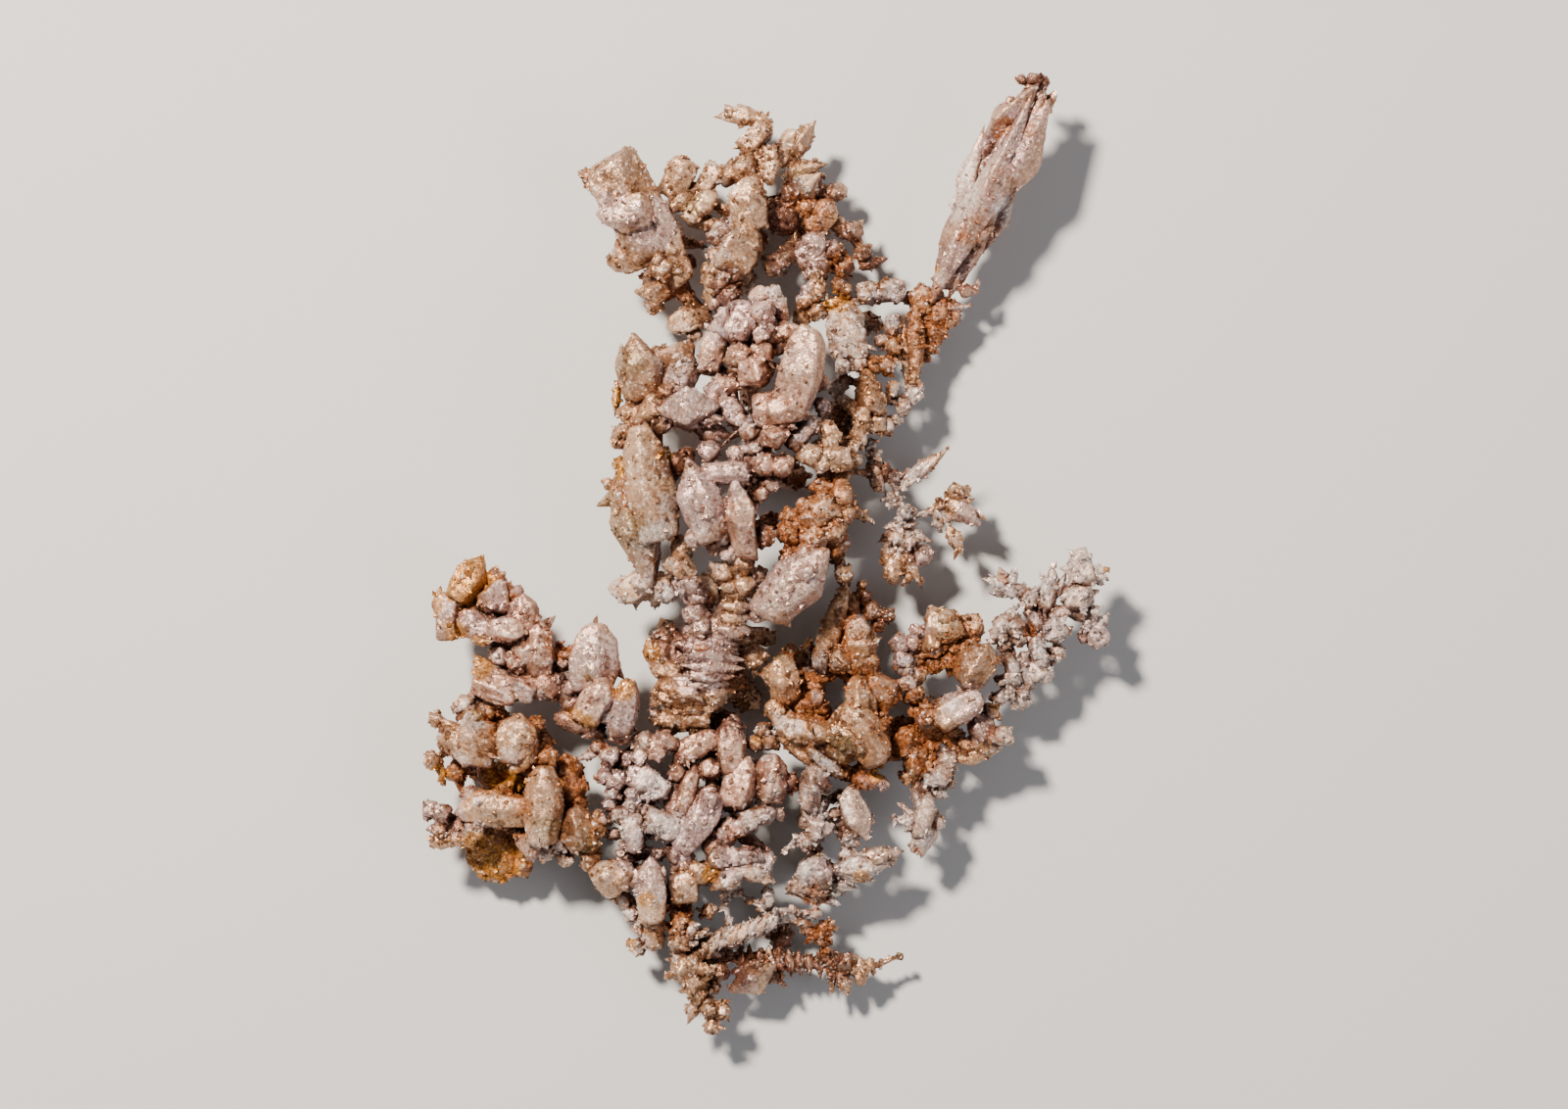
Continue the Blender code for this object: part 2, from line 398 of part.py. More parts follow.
            (-31.8, -21.5, 20.5, 2.8), (-31.4, -24, 20, 3.2), (-31.7, -15.6, 18, 2), (-30.3, -19.3, 20.5, 3),
            (-29, -28.6, 19, 3), (-25.6, -26, 22.5, 2.4), (-27.4, -29, 18.5, 2.4),
        ],
        "feet": [((-44, -12, 14), (-44, -12, 6), 6), ((-34, -21, 15), (-34, -21, 7), 5)],
    },
    "lower_left_cluster": {
        "look": "rust",
        "stems": [
            [(-27.5, -45, 16, 4), (-30, -45.4, 16, 5), (-34.5, -46.5, 16, 4), (-37, -42, 16.5, 4.5),
             (-37, -36, 17, 4.5), (-39.5, -31, 17, 5), (-44.5, -31, 17, 4), (-49, -30.5, 17, 5)],
            [(-36, -45.5, 16, 4), (-40.5, -45, 15.5, 3.6), (-45, -43, 16, 5), (-51, -43.6, 16, 4)],
            [(-44.6, -44, 14, 4), (-44.4, -49.5, 12, 5)],
            [(-46.5, -31, 16, 4), (-47.2, -26.4, 15.5, 4)],
            [(-37, -43, 15, 4), (-32.5, -40.5, 14.5, 4), (-32.6, -35, 15, 3.6)],
            [(-38.5, -38, 14, 4), (-43.5, -36.6, 13, 3.6)],
        ],
        "crystals": [
            ("stub", (-46.2, -31, 20.5), (-53.8, -29.6, 19.5), 6.8),
            ("lens", (-53.2, -33, 17.5), (-53.1, -37.9, 16.5), 1.3),
            ("point", (-50.8, -34.6, 15.5), (-50.1, -39.2, 14.5), 2.2),
            ("stub", (-47, -31.1, 21), (-41.8, -31.4, 20), 3.6),
            ("stub", (-40.1, -33.2, 21.5), (-40, -25.8, 23), 6.2),
            ("spear", (-36.5, -46.2, 21), (-36, -33.8, 24), 5.6),
            ("stub", (-38, -33.5, 20), (-33.8, -32.5, 20), 2.9),
            ("stub", (-32, -41.2, 15.5), (-33, -32.5, 16.5), 4.2),
            ("point", (-38, -29.6, 16), (-34.8, -32.2, 16), 3.2),
            ("stub", (-40.8, -41.8, 21), (-50.6, -41.9, 19.5), 6),
            ("stub", (-48.6, -45.9, 18), (-55.1, -46.8, 17.5), 2.9),
            ("stub", (-44.6, -45.6, 12.5), (-43.4, -54.4, 10), 7.2),
            ("lens", (-49.6, -47, 12.5), (-46.3, -53.6, 11), 1.9),
            ("spear", (-29.6, -47.6, 19), (-31.8, -41, 20), 5.4),
            ("point", (-28.4, -43.2, 18.5), (-25.1, -43.8, 18), 2.4),
        ],
        "lumps": [
            (-49.4, -24.5, 18, 3.4), (-47.5, -23.7, 16.5, 2.8), (-47.8, -26.7, 18.5, 4.4),
            (-45.6, -25.8, 17.5, 3.4), (-44, -27.4, 15.5, 3.8), (-53.9, -27, 18, 2.6),
            (-54.5, -33.6, 18, 2.8), (-51, -35.4, 15.5, 3.4), (-37.6, -27.6, 19, 2.6),
            (-41, -33.4, 20, 2.8), (-39.2, -33.9, 20, 3.4), (-45.2, -36.2, 14, 4.4),
            (-42, -36, 14.5, 4.4), (-42.7, -38, 15, 3.4), (-30.7, -37.9, 15, 3.2), (-31, -40.6, 16, 3.2),
            (-48.3, -39.1, 19.5, 3), (-55, -41.4, 18, 2.8), (-53, -42.2, 18.5, 3), (-55.5, -42.6, 17.5, 1.8),
            (-53.4, -44.8, 18, 3), (-47.4, -44.6, 20, 3.2), (-47, -48, 13, 3.2), (-40.3, -51, 12, 3.8),
            (-38.7, -46.9, 18.5, 4), (-36, -48.2, 17.5, 3.4), (-28.2, -44.2, 19, 4.2),
            (-29, -47, 18.5, 3.8), (-34, -46.8, 18.5, 3), (-33, -49.4, 16.5, 3),
        ],
        "feet": [((-43.5, -41, 12), (-43, -41, -2), 7.5), ((-38, -31, 13), (-38, -31, 6), 5)],
        "deep": [
            ((-46, -33, 12), (-49.4, -36.4, 8), 5),
            ((-40.5, -43, 12), (-39.2, -38.6, 8), 4),
            ((-47, -26, 13), (-43, -25, 9), 4),
        ],
    },
    "inner_left_chain": {
        "look": "grey",
        "detail": "fine",
        "stems": [
            [(-20.6, -31.6, 17.5, 3.2), (-24.4, -32.6, 17.5, 3.5), (-25.3, -37, 17.5, 3.4),
             (-23.5, -41, 17.5, 3.4), (-21.5, -45, 17, 4), (-20.5, -48.2, 16.5, 3.2)],
            [(-24.5, -37, 17.5, 2.8), (-20, -38, 18, 3.4), (-17.5, -38, 18, 3)],
            [(-21, -44.5, 17, 2.6), (-16.5, -44, 17.5, 3)],
        ],
        "crystals": [
            ("lens", (-27, -32.2, 18.5), (-31.4, -33.4, 18), 1.6),
            ("stub", (-21.2, -36.9, 21), (-15.7, -37.7, 21.5), 4.5),
            ("stub", (-21.9, -46.9, 20), (-20.9, -42.2, 21), 3.9),
            ("stub", (-18.2, -43.2, 20.5), (-13.6, -44.9, 20.5), 4.1),
            ("stub", (-23.5, -49, 17.5), (-16.4, -48.5, 17.5), 2.4),
            ("lens", (-22.5, -45.2, 18), (-27.1, -45.9, 18), 2),
            ("stub", (-21.2, -33.3, 20.5), (-19.3, -28.5, 20.5), 3),
        ],
        "lumps": [
            (-25.5, -32.7, 19.5, 3.4), (-27.5, -31.4, 18.5, 2.6), (-22.4, -33.3, 19, 3),
            (-26.3, -36, 19.5, 3), (-24.2, -36.4, 20.5, 3), (-25, -38.7, 19.5, 2.8),
            (-25.5, -40.7, 18.5, 2.4),
            (-21.9, -38.9, 20.5, 2.4), (-23.8, -42.4, 19.5, 3.4), (-21.8, -40.9, 19.5, 3),
            (-19.9, -41.6, 18.5, 3), (-18.4, -44.3, 18.5, 2), (-22.7, -47.1, 18.5, 2.6),
        ],
        "feet": [((-23, -42, 13), (-23, -42, 6), 5)],
    },
    "lower_centre": {
        "look": "pink",
        "stems": [
            [(-14, -30.6, 17, 3.6), (-13.2, -33, 17, 4), (-13.5, -37, 17, 4), (-12.6, -41, 17, 4.5),
             (-12, -45, 17, 4.5), (-13.5, -48.4, 16.5, 4)],
            [(-13, -32, 16.5, 3), (-7, -32, 17, 3.6), (-5, -36, 17, 4), (-4, -39.5, 17, 3)],
            [(-5, -36, 17, 3), (0, -36, 17, 4), (3, -36.6, 17, 3)],
            [(-9, -43.5, 17, 4), (-6, -44.2, 17, 3), (-2, -43.2, 17, 2.6), (1.4, -42, 17, 2)],
        ],
        "crystals": [
            ("stub", (-18.8, -31.1, 20.5), (-14.2, -30.9, 21), 3.3),
            ("spear", (-14.2, -32.5, 20), (-7.5, -29.3, 20.5), 3.5),
            ("spear", (-5.7, -34.6, 20), (-6.3, -26.6, 20.5), 4.3),
            ("stub", (-15.1, -41.4, 19.5), (-15.1, -37.6, 19.5), 3.2),
            ("spear", (-13.9, -41.6, 20.5), (-11.6, -34.4, 20.5), 2.8),
            ("spear", (-5.5, -40.8, 19.5), (-2.7, -33, 20.5), 4.6),
            ("spear", (-14.2, -47.6, 19.5), (-7.6, -38.8, 20.5), 5.4),
            ("stub", (-9, -48.2, 18.5), (-5, -43, 19.5), 3.2),
            ("stub", (-5.8, -44.7, 20), (1.4, -41.4, 19.5), 3.1),
            ("lens", (-5.4, -45.8, 16), (0.4, -48.3, 15), 2),
            ("stub", (-14.2, -50, 18.5), (-13.8, -46.2, 18.5), 4.2),
            ("stub", (0.2, -39.3, 19.5), (1.4, -32.6, 20.5), 4.7),
            ("lens", (-1.8, -40.4, 18.5), (5, -35.2, 18.5), 1.9),
            ("stub", (-6.6, -26.4, 15.5), (-3.6, -28.8, 15), 2.6),
        ],
        "lumps": [
            (-9.3, -34.7, 19.5, 4), (-14.5, -35.6, 19.5, 3), (-14, -33.2, 19, 3), (2, -42.3, 18, 2.2),
            (-8.2, -27.4, 15.5, 2.8), (-8.7, -37.8, 18, 2.4), (3.8, -37.2, 18, 3), (-11.4, -40, 19.5, 3),
        ],
        "feet": [((-11, -41, 13), (-11, -42, -2), 7), ((-2, -36, 13), (-2, -36, 5), 5)],
    },
    "mid_right_column": {
        "look": "rust",
        "stems": [
            [(12.6, -6, 18, 3.4), (12.3, -10, 17, 3.6), (13, -14, 17, 4.4), (13, -18, 17, 4),
             (15, -22, 17, 4.4), (16.5, -26, 16, 4)],
            [(12.5, -18, 16, 3.6), (9, -20, 15.5, 3.6), (5.5, -22, 15.5, 4), (3, -19.5, 16, 4),
             (2.2, -16.6, 15, 2.6)],
            [(5.5, -22, 15.5, 4), (6, -26.5, 16, 4), (9, -29, 17, 5), (14, -29, 17, 5), (17, -31, 16, 4),
             (18.5, -33.5, 15, 3)],
            [(5, -28.5, 17, 4), (6.5, -32, 17, 4)],
            [(13.6, -6.4, 17, 2.4), (16.5, -8.6, 16.5, 2.2), (19, -10, 16, 2.2)],
            [(17, -33.5, 15, 3), (14, -35.4, 15, 2.8)],
            [(4.5, -28, 16.5, 3), (0.4, -29.6, 16.5, 2.4)],
        ],
        "crystals": [
            ("spear", (8.9, -17.1, 19), (12.9, -4.6, 21.5), 3.4),
            ("stub", (12.5, -15, 17.5), (13.5, -6, 18.5), 3),
            ("stub", (14.6, -18.5, 20), (14.3, -9.6, 21), 4.8),
            ("point", (14.8, -16, 20), (17.4, -12.2, 21), 3.4),
            ("stub", (9.1, -20.4, 17.5), (7.9, -15.7, 18.5), 2.4),
            ("stub", (15.7, -25.3, 19), (15, -19.3, 20.5), 4.6),
            ("stub", (17, -22, 18.5), (22.1, -22.9, 18), 4.9),
            ("stub", (15.8, -26.3, 18.5), (20.2, -26.9, 18), 3.6),
            ("stub", (2.3, -22.4, 19.5), (3.2, -16.4, 20.5), 5),
            ("stub", (1.6, -25.2, 18.5), (2, -21.2, 18.5), 3),
            ("stub", (8.6, -25, 19), (8.1, -21.5, 19.5), 2.6),
            ("stub", (0.8, -24.8, 20.5), (5.6, -30.4, 21.5), 2.7),
            ("stub", (2.6, -27.6, 20.5), (11.2, -29.4, 21.5), 4.4),
            ("stub", (9.4, -28.4, 21.5), (18.8, -31, 21), 6.4),
            ("point", (12.6, -27.5, 21.5), (12.8, -23.5, 21), 3.8),
            ("stub", (3, -28.8, 19.5), (12, -36.3, 18.5), 4),
            ("stub", (7, -31.8, 21.5), (12.3, -35.9, 20.5), 1.9),
            ("stub", (17.2, -28, 15), (20.6, -31, 14), 3.2),
        ],
        "lumps": [
            (12, -17, 20.5, 4.2), (16.4, -16.6, 17.5, 3), (16.9, -18.4, 17.5, 2.2), (16, -6.8, 17, 2.2),
            (17.3, -9.2, 17, 3), (19.6, -10, 16.5, 2.6), (18.3, -11.2, 16.5, 2.4), (15.6, -5, 17, 1.8),
            (0.6, -19.4, 19.5, 3), (3.8, -15.8, 15.5, 2.4), (6.3, -24.6, 17, 5), (9, -26, 17, 3.6),
            (7.5, -21.4, 16.5, 4), (-0.5, -28.5, 17.5, 2.6), (0.8, -30.4, 17.5, 2.8), (-1.8, -31, 17.5, 2.4),
            (12.8, -35.7, 15.5, 2.6), (16, -35.2, 15.5, 3), (18.5, -33, 16, 3.4),
        ],
        "feet": [((13, -15, 13), (13, -15, 5), 6), ((10, -29, 13), (10, -30, -2), 7.5)],
        "deep": [
            ((5, -19.5, 13), (7.8, -14, 9), 4.5),
            ((10, -30, 13), (13.8, -34.6, 9), 5.5),
        ],
    },
    "right_arm": {
        "look": "rust",
        "stems": [
            [(22.6, -23.4, 16, 3), (24.4, -23.8, 15.5, 3), (26.5, -26.5, 15.5, 3.6), (28, -29, 15, 2.8),
             (31, -31.4, 14.5, 3), (33.4, -30.5, 14.5, 3), (36, -27.6, 15, 3), (37.8, -25.4, 15, 2.4)],
            [(24.5, -23, 15.5, 2.6), (25, -19.5, 15.5, 2.6), (24.5, -16, 16, 3), (21.5, -14.5, 16.5, 2.6)],
            [(24.8, -16, 16, 2.6), (28, -14, 16, 3.4), (30.5, -12, 16, 4.4), (33.5, -11.5, 15, 3.6)],
            [(28, -27, 15.5, 3), (32, -25, 17, 4), (34, -21, 17, 3.2), (35, -17.5, 17, 4),
             (36.2, -16.4, 16, 2.4)],
            [(26.5, -27.5, 14, 3), (24, -31, 13.5, 4), (24.4, -35, 14, 2.6)],
            [(28, -14.5, 15, 2.4), (27.6, -18, 14, 2.4)],
            [(29.4, -14, 15.5, 2.4), (30.2, -17.6, 15, 2.2)],
        ],
        "crystals": [
            ("lens", (27.4, -25.2, 17), (32.7, -22.5, 18), 2.1),
            ("spear", (28, -27.3, 19.5), (35.2, -22.7, 21), 4.8),
            ("stub", (27, -11.3, 18.5), (32, -12.2, 19), 4.6),
            ("stub", (32, -12.8, 16), (34.8, -10, 15.5), 4.6),
            ("lens", (24.8, -16.4, 17), (30, -14.9, 17.5), 1.5),
            ("stub", (30.2, -15.3, 17.5), (34.5, -15, 17.5), 2.3),
            ("spear", (33, -21.1, 19.5), (36, -14.4, 21), 4.8),
            ("stub", (35.9, -30.8, 16.5), (34.1, -26, 17.5), 3.9),
            ("point", (31.8, -30.6, 15.5), (31.9, -28.3, 15.5), 1.5),
            ("lens", (30.2, -33.6, 16), (37.9, -32.1, 16), 2.7),
            ("stub", (24, -35.5, 14.5), (24, -28, 15.5), 4.4),
            ("stub", (22.8, -36.8, 14.5), (26, -35, 14.5), 2.6),
            ("point", (30.1, -17.8, 15.5), (29.8, -20.4, 15), 1.7),
        ],
        "lumps": [
            (24, -22.5, 17, 3), (26, -26.4, 17.5, 4.4), (30.2, -28.7, 16, 2.2), (21.5, -14.2, 17.5, 3.2),
            (23.8, -14.2, 17.5, 3), (22.2, -16.9, 17.5, 3.4), (23, -18.8, 17, 2.6), (22.9, -21, 17.5, 2.8),
            (24.8, -19.6, 16.5, 2.6), (24.5, -12.3, 17.5, 2.4), (29.2, -10.6, 18.5, 4), (27, -14, 17.5, 3.4),
            (29.9, -17.1, 16, 3), (27.3, -17.8, 15, 3.2), (33.4, -21.9, 18, 2.4), (38.3, -29.5, 17.5, 3.4),
            (36.6, -25.8, 16.5, 2.8), (33, -31.2, 16, 3), (27, -31.2, 14.5, 2.6), (26.6, -33.8, 14.5, 2.8),
        ],
        "feet": [((27.5, -26, 12), (28, -26, -2), 7), ((31, -13, 13), (31, -13, 8), 4)],
        "deep": [
            ((24.5, -29, 12), (20, -27.6, 9), 5),
            ((23.5, -33, 12), (19.4, -31.6, 9), 4),
        ],
    },
    "right_spray": {
        "look": "grey",
        "detail": "fine",
        "stems": [
            [(38.2, -15.6, 16, 2), (39.5, -13, 16, 3), (42.5, -12.5, 16, 2.6), (45, -11, 16, 2.6),
             (47, -10, 16, 2.4), (50, -7.5, 16, 3), (51.5, -4, 17, 3), (51.5, -1.5, 17.5, 2.6)],
            [(44.5, -11, 16, 2.2), (43.3, -8, 16, 2.4), (42, -6, 16, 1.8), (39.5, -4.8, 16, 2.2)],
            [(45.4, -10, 16, 1.8), (46.2, -5.4, 16.5, 2.2)],
            [(50, -8.8, 16, 2), (53, -10.3, 16, 2.2), (53.8, -13, 16, 2.8)],
            [(44.3, -12, 16, 2.4), (44.2, -16.5, 16, 2.2), (45.2, -19.5, 15.5, 2.6)],
            [(39.8, -14.5, 15.5, 2.4), (40.2, -19, 15.5, 2.8), (40.8, -23, 15, 2.4)],
            [(40.4, -18, 15, 2), (42.3, -18.5, 15, 2)],
        ],
        "crystals": [
            ("point", (39, -4.8, 17), (35.2, -3.9, 17), 2),
            ("point", (38.8, -4.8, 17), (38, -1.9, 17.5), 1.9),
            ("point", (39.6, -4.8, 17), (41, -1.8, 17.5), 1.5),
            ("stub", (37.6, -5.3, 17), (42.5, -6.5, 17), 2.3),
            ("stub", (46, -8, 17.5), (46.3, -3.5, 18.5), 2.9),
            ("point", (46.5, -4.3, 18), (46.7, -1.7, 18), 1.6),
            ("lens", (47, -7.2, 17), (48.8, -2.9, 17.5), 1.7),
            ("stub", (51.1, -3.8, 18.5), (51.6, 1.2, 19), 3.1),
            ("point", (51.4, -1, 18.5), (49, 1, 18.5), 1.7),
            ("point", (52.2, -3.2, 18.5), (56.4, -2.1, 18), 2),
            ("point", (51.2, -2.8, 18.5), (47.7, -2.1, 18), 1.8),
            ("point", (53.2, -3.6, 18), (55, -4.8, 17.5), 1.5),
            ("stub", (46.8, -10.2, 17), (49.8, -8.7, 18), 2.2),
            ("stub", (49.4, -9, 17), (52.2, -9.9, 17), 1.7),
            ("lens", (51.6, -10.6, 17), (54.9, -8.3, 17.5), 2),
            ("point", (53.6, -11.6, 16.5), (56.4, -9.3, 16.5), 1.9),
            ("block", (53.2, -12, 17), (55.2, -14.7, 17), 2.9),
            ("stub", (42.8, -9.8, 16.5), (45, -12.2, 17), 2.2),
            ("stub", (44.7, -17.8, 17.5), (43.8, -13.2, 18), 2.4),
            ("stub", (40.4, -20.6, 17.5), (39.6, -16, 18), 2.8),
            ("stub", (43, -21.2, 17), (41.7, -15.8, 17.5), 1.9),
            ("stub", (43.4, -18.4, 17), (46.4, -20.8, 16.5), 3.1),
            ("point", (44.8, -18.4, 16), (47.4, -17.3, 15.5), 1.6),
            ("stub", (40, -22.8, 16), (43, -24.7, 15.5), 1.9),
            ("point", (40.4, -23.6, 15.5), (42.1, -25.6, 15), 1.6),
        ],
        "lumps": [
            (43.1, -7.2, 17, 3), (52.2, -3.6, 19, 3.2), (50.7, -6.8, 18, 4.8), (53, -11.3, 17, 2.8),
            (51.6, -13.7, 16, 1.8), (40, -9.9, 17.5, 2.4), (38.5, -11.6, 17.5, 3), (38, -13.1, 17, 3),
            (40.6, -12, 18, 3), (41.3, -13.6, 17.5, 2.4), (39.2, -14.6, 16.5, 2.6), (47, -12.4, 18, 3.9),
            (47.4, -15.6, 16.5, 2.4), (41.7, -22.2, 16.5, 2.4), (39.8, -21.9, 16.5, 2.6),
            (38.2, -23.2, 16, 2.4), (38.4, -20.5, 15.5, 1.8),
        ],
        "feet": [],
    },
    "lower_right_spear": {
        "look": "grey",
        "detail": "fine",
        "stems": [
            [(29.6, -33.2, 15, 3), (28.6, -35.5, 15, 3.2), (27, -38, 15, 2.6), (25.6, -40.5, 15, 2.4),
             (25.6, -44, 15.5, 2.8)],
        ],
        "crystals": [
            ("lens", (26.6, -38.4, 15.5), (29.6, -39.7, 15), 1.7),
            ("stub", (25, -41.3, 14.5), (24.7, -37.4, 14.5), 2),
            ("spear", (25, -45.5, 17.5), (26.5, -39, 18), 3.2),
            ("stub", (26.6, -42, 16), (27.8, -45.2, 15.5), 2.5),
            ("point", (26.4, -44.7, 16.5), (19.7, -42.8, 16), 2.5),
            ("point", (25, -43.4, 15.5), (21.5, -40.7, 15), 1.5),
            ("point", (25.9, -44.4, 16), (25.3, -49.7, 16), 3.8),
            ("point", (25.6, -46, 15.5), (23.1, -47.9, 15.5), 1.9),
        ],
        "lumps": [
            (29.6, -33.6, 16.5, 3.4), (28.5, -36, 16.5, 3.6), (30, -37.4, 15.5, 1.6), (26.8, -37.2, 16.5, 2),
        ],
        "feet": [],
    },
    "bottom_left_arm": {
        "look": "tan",
        "stems": [
            [(-19.4, -50.2, 16.5, 4), (-19, -55, 16.5, 5), (-18.5, -61, 15, 4.5), (-17.6, -63.6, 14.5, 3)],
            [(-19.5, -52, 16.5, 4), (-25, -52, 16, 4), (-29.6, -50, 16, 3.4)],
            [(-24.5, -53.5, 15.5, 2.6), (-23, -57, 15, 2.6), (-21, -60.4, 14.5, 2.6)],
            [(-18, -63.4, 14, 2.4), (-21, -64.2, 13.5, 2)],
        ],
        "crystals": [
            ("spear", (-18.5, -58.8, 19), (-19, -49.2, 20.5), 4.8),
            ("stub", (-18.2, -63.2, 16), (-18.6, -55.6, 18.5), 3.9),
            ("stub", (-26.8, -53, 19), (-22, -50.5, 20), 5),
            ("stub", (-29, -49.2, 18), (-29.6, -51.6, 17.5), 3.4),
            ("point", (-20, -64.4, 14), (-23.1, -63.3, 13.5), 2.4),
            ("stub", (-27.2, -54.4, 16), (-25, -55.4, 16), 2),
        ],
        "lumps": [
            (-23.6, -56.4, 16, 2.8), (-22, -58.6, 15.5, 2.6), (-20.6, -60.6, 15.5, 2.6), (-21, -52.8, 19, 4),
        ],
        "feet": [((-19, -56, 13), (-19, -56, 6), 5)],
    },
    "bottom_mass": {
        "look": "tan",
        "detail": "fine",
        "stems": [
            [(-13.6, -51, 16, 4.2), (-13.2, -57, 14, 3.6), (-13.2, -63, 14.5, 5), (-12, -68, 14.5, 5),
             (-11, -72, 14, 4), (-9.5, -75, 14, 3.4), (-9, -77.4, 13.5, 2.4)],
            [(-13, -51.5, 16.5, 3.6), (-9, -51.5, 17, 3.6), (-4, -50.5, 17, 3), (0, -50.8, 17, 2.4)],
            [(-12, -64, 14.5, 3.6), (-6, -62.3, 14.5, 3.6), (0, -60.2, 14, 3.2), (5, -60, 13, 2.8),
             (8.6, -62.5, 12, 2.6), (10, -66, 11.5, 2.4)],
            [(-10.5, -66, 13, 3), (-3, -66, 12, 2.6), (4, -66.3, 11.5, 2.8), (10, -67.6, 11.5, 3),
             (15, -68, 11.5, 2.8), (18.6, -67.4, 11.5, 2)],
            [(18.4, -67.4, 11.5, 2), (22.2, -65.9, 11.5, 1.3)],
            [(-7.6, -52.6, 16, 1.9), (-4, -56, 16, 1.8), (0, -58, 15.5, 1.9), (4.4, -58.1, 15, 1.8),
             (8.4, -58.8, 14.5, 1.5)],
            [(-7, -55, 16, 1.8), (-6.2, -60.6, 15.5, 2)],
            [(-15, -64.4, 14, 2.6), (-16, -65, 13.5, 2)],
        ],
        "crystals": [
            ("stub", (-13.8, -55.4, 18), (-13.8, -49.6, 19), 4.4),
            ("stub", (-11.6, -52.6, 18.5), (-6.8, -50.4, 19.5), 4),
            ("stub", (-8.4, -49.2, 20), (-0.4, -49.4, 20), 2.8),
            ("lens", (-9, -54.4, 20), (-3, -51, 21), 3.1),
            ("lens", (-5, -51, 21), (1.2, -53.2, 19.5), 2.9),
            ("block", (-0.2, -52.4, 19), (0.3, -48.4, 19), 2),
            ("block", (0, -57.4, 16.5), (0.2, -54.3, 17), 1.7),
            ("lens", (-12.5, -62.8, 18), (-12, -59.6, 19), 1.7),
            ("lens", (-12.4, -62.8, 17.5), (-9.4, -60.8, 18), 1.6),
            ("lens", (-11.2, -72.6, 15), (-13, -76.9, 14), 2),
            ("lens", (-4.9, -71, 13), (0.8, -67.6, 14), 4.4),
            ("stub", (12, -68.8, 12), (13.4, -72, 12), 2),
            ("point", (10.6, -68.6, 12), (10.8, -72, 12), 1.7),
            ("stub", (15.2, -68, 12), (15.5, -70.8, 12), 1.8),
            ("stub", (-9.6, -68, 14), (-6, -68.4, 13.5), 2.8),
        ],
        "lumps": [
            (-14, -60.3, 16.5, 3.6), (-14.3, -63.2, 16.5, 4), (-9.6, -58.3, 16, 2.4), (-13, -67.3, 16.5, 5),
            (-12, -70, 16, 4), (-11.4, -72.2, 15.5, 3), (-9.6, -74.1, 15, 3), (-7.3, -74.4, 15, 2.8),
            (-9, -77.2, 14, 2.8), (-8.5, -70.7, 14, 2), (1.3, -69.3, 11.5, 2.2), (9.4, -61.6, 13, 2.8),
            (12.6, -67, 12.5, 3.2), (7.9, -58.8, 15, 1.7),
        ],
        "braids": [
            ((-11, -64.6, 16.5), (2.5, -59.2, 15.5), 4.6, 1.6, 1.7, 40),
            ((-5, -66.4, 12.5), (10.5, -67.6, 12), 4.4, 1.4, 1.6, -80),
            ((5.4, -60, 14), (10.6, -65, 12.5), 3.6, 1.4, 1.5, 35),
            ((11.5, -67.6, 12.5), (18.6, -67.6, 12), 3.2, 1.4, 1.6, -75),
        ],
        "feet": [((-12, -66, 11), (-12, -66, -2), 6.5), ((2, -63, 11), (2, -63, 5), 4)],
        "deep": [
            ((-13.6, -55, 12), (-16.8, -59.4, 8), 4.5),
            ((1, -60.5, 11), (4, -63.4, 6), 4.5),
        ],
    },
    "bottom_right_twigs": {
        "look": "grey",
        "detail": "fine",
        "stems": [
            [(7.6, -37.2, 17.5, 3.4), (7.8, -40, 17, 3.4), (9, -44, 16, 3.6), (7.4, -46.4, 15.5, 2.6)],
            [(9, -44, 16, 2.6), (12.5, -44, 15.5, 2.8), (13.2, -47, 15, 2.4), (13, -50, 15, 2.4),
             (12.5, -51.5, 15, 3), (8, -52, 15, 4.5), (6, -54.5, 14.5, 3.4)],
            [(11.6, -39, 15.5, 2.4), (13.6, -40.5, 16, 3.2), (13, -44, 15.5, 2.6)],
            [(8.4, -40.5, 16.5, 2.4), (12, -39, 15.5, 2.2), (15.4, -37.4, 15.5, 2.2)],
            [(7, -46, 15.5, 1.9), (4.8, -46.2, 15.5, 1.7), (3.8, -48, 15, 1.5), (2, -49.4, 15, 1.3)],
            [(8.4, -46.4, 15, 1.6), (8.2, -50, 15, 2)],
        ],
        "crystals": [
            ("stub", (7.3, -39.5, 19.5), (7.2, -34.1, 20.5), 3.9),
            ("lens", (9.4, -43, 16.5), (13.4, -41.6, 16.5), 1.9),
            ("lens", (5.4, -46.8, 16), (7.5, -49.1, 16), 1.5),
            ("spear", (12.8, -38.4, 17.5), (16.7, -46.6, 17.5), 4.4),
            ("point", (15, -42.6, 17), (17.9, -43.8, 17), 2.2),
            ("stub", (14.9, -36.8, 16.5), (20.1, -37.8, 16.5), 2.4),
            ("lens", (10.6, -51.6, 17), (20.6, -50.2, 17.5), 4.2),
            ("lens", (14.2, -49.8, 17.5), (22.1, -48.4, 17), 3),
            ("lens", (10.8, -52, 16.5), (18, -53.2, 17), 2),
            ("stub", (6.3, -54.2, 17), (6.2, -49.9, 18), 3.4),
            ("stub", (8.7, -53.7, 17), (8.7, -48.8, 18), 3.6),
            ("lens", (4.6, -55.5, 15.5), (10.8, -57, 15), 1.9),
            ("lens", (9.8, -53.8, 15.5), (15, -54.7, 15), 1.9),
            ("lens", (9, -55.4, 15), (13.4, -55.1, 14.5), 1.7),
            ("lens", (8.8, -55.8, 14.5), (12.2, -57.5, 14.5), 1.6),
        ],
        "lumps": [
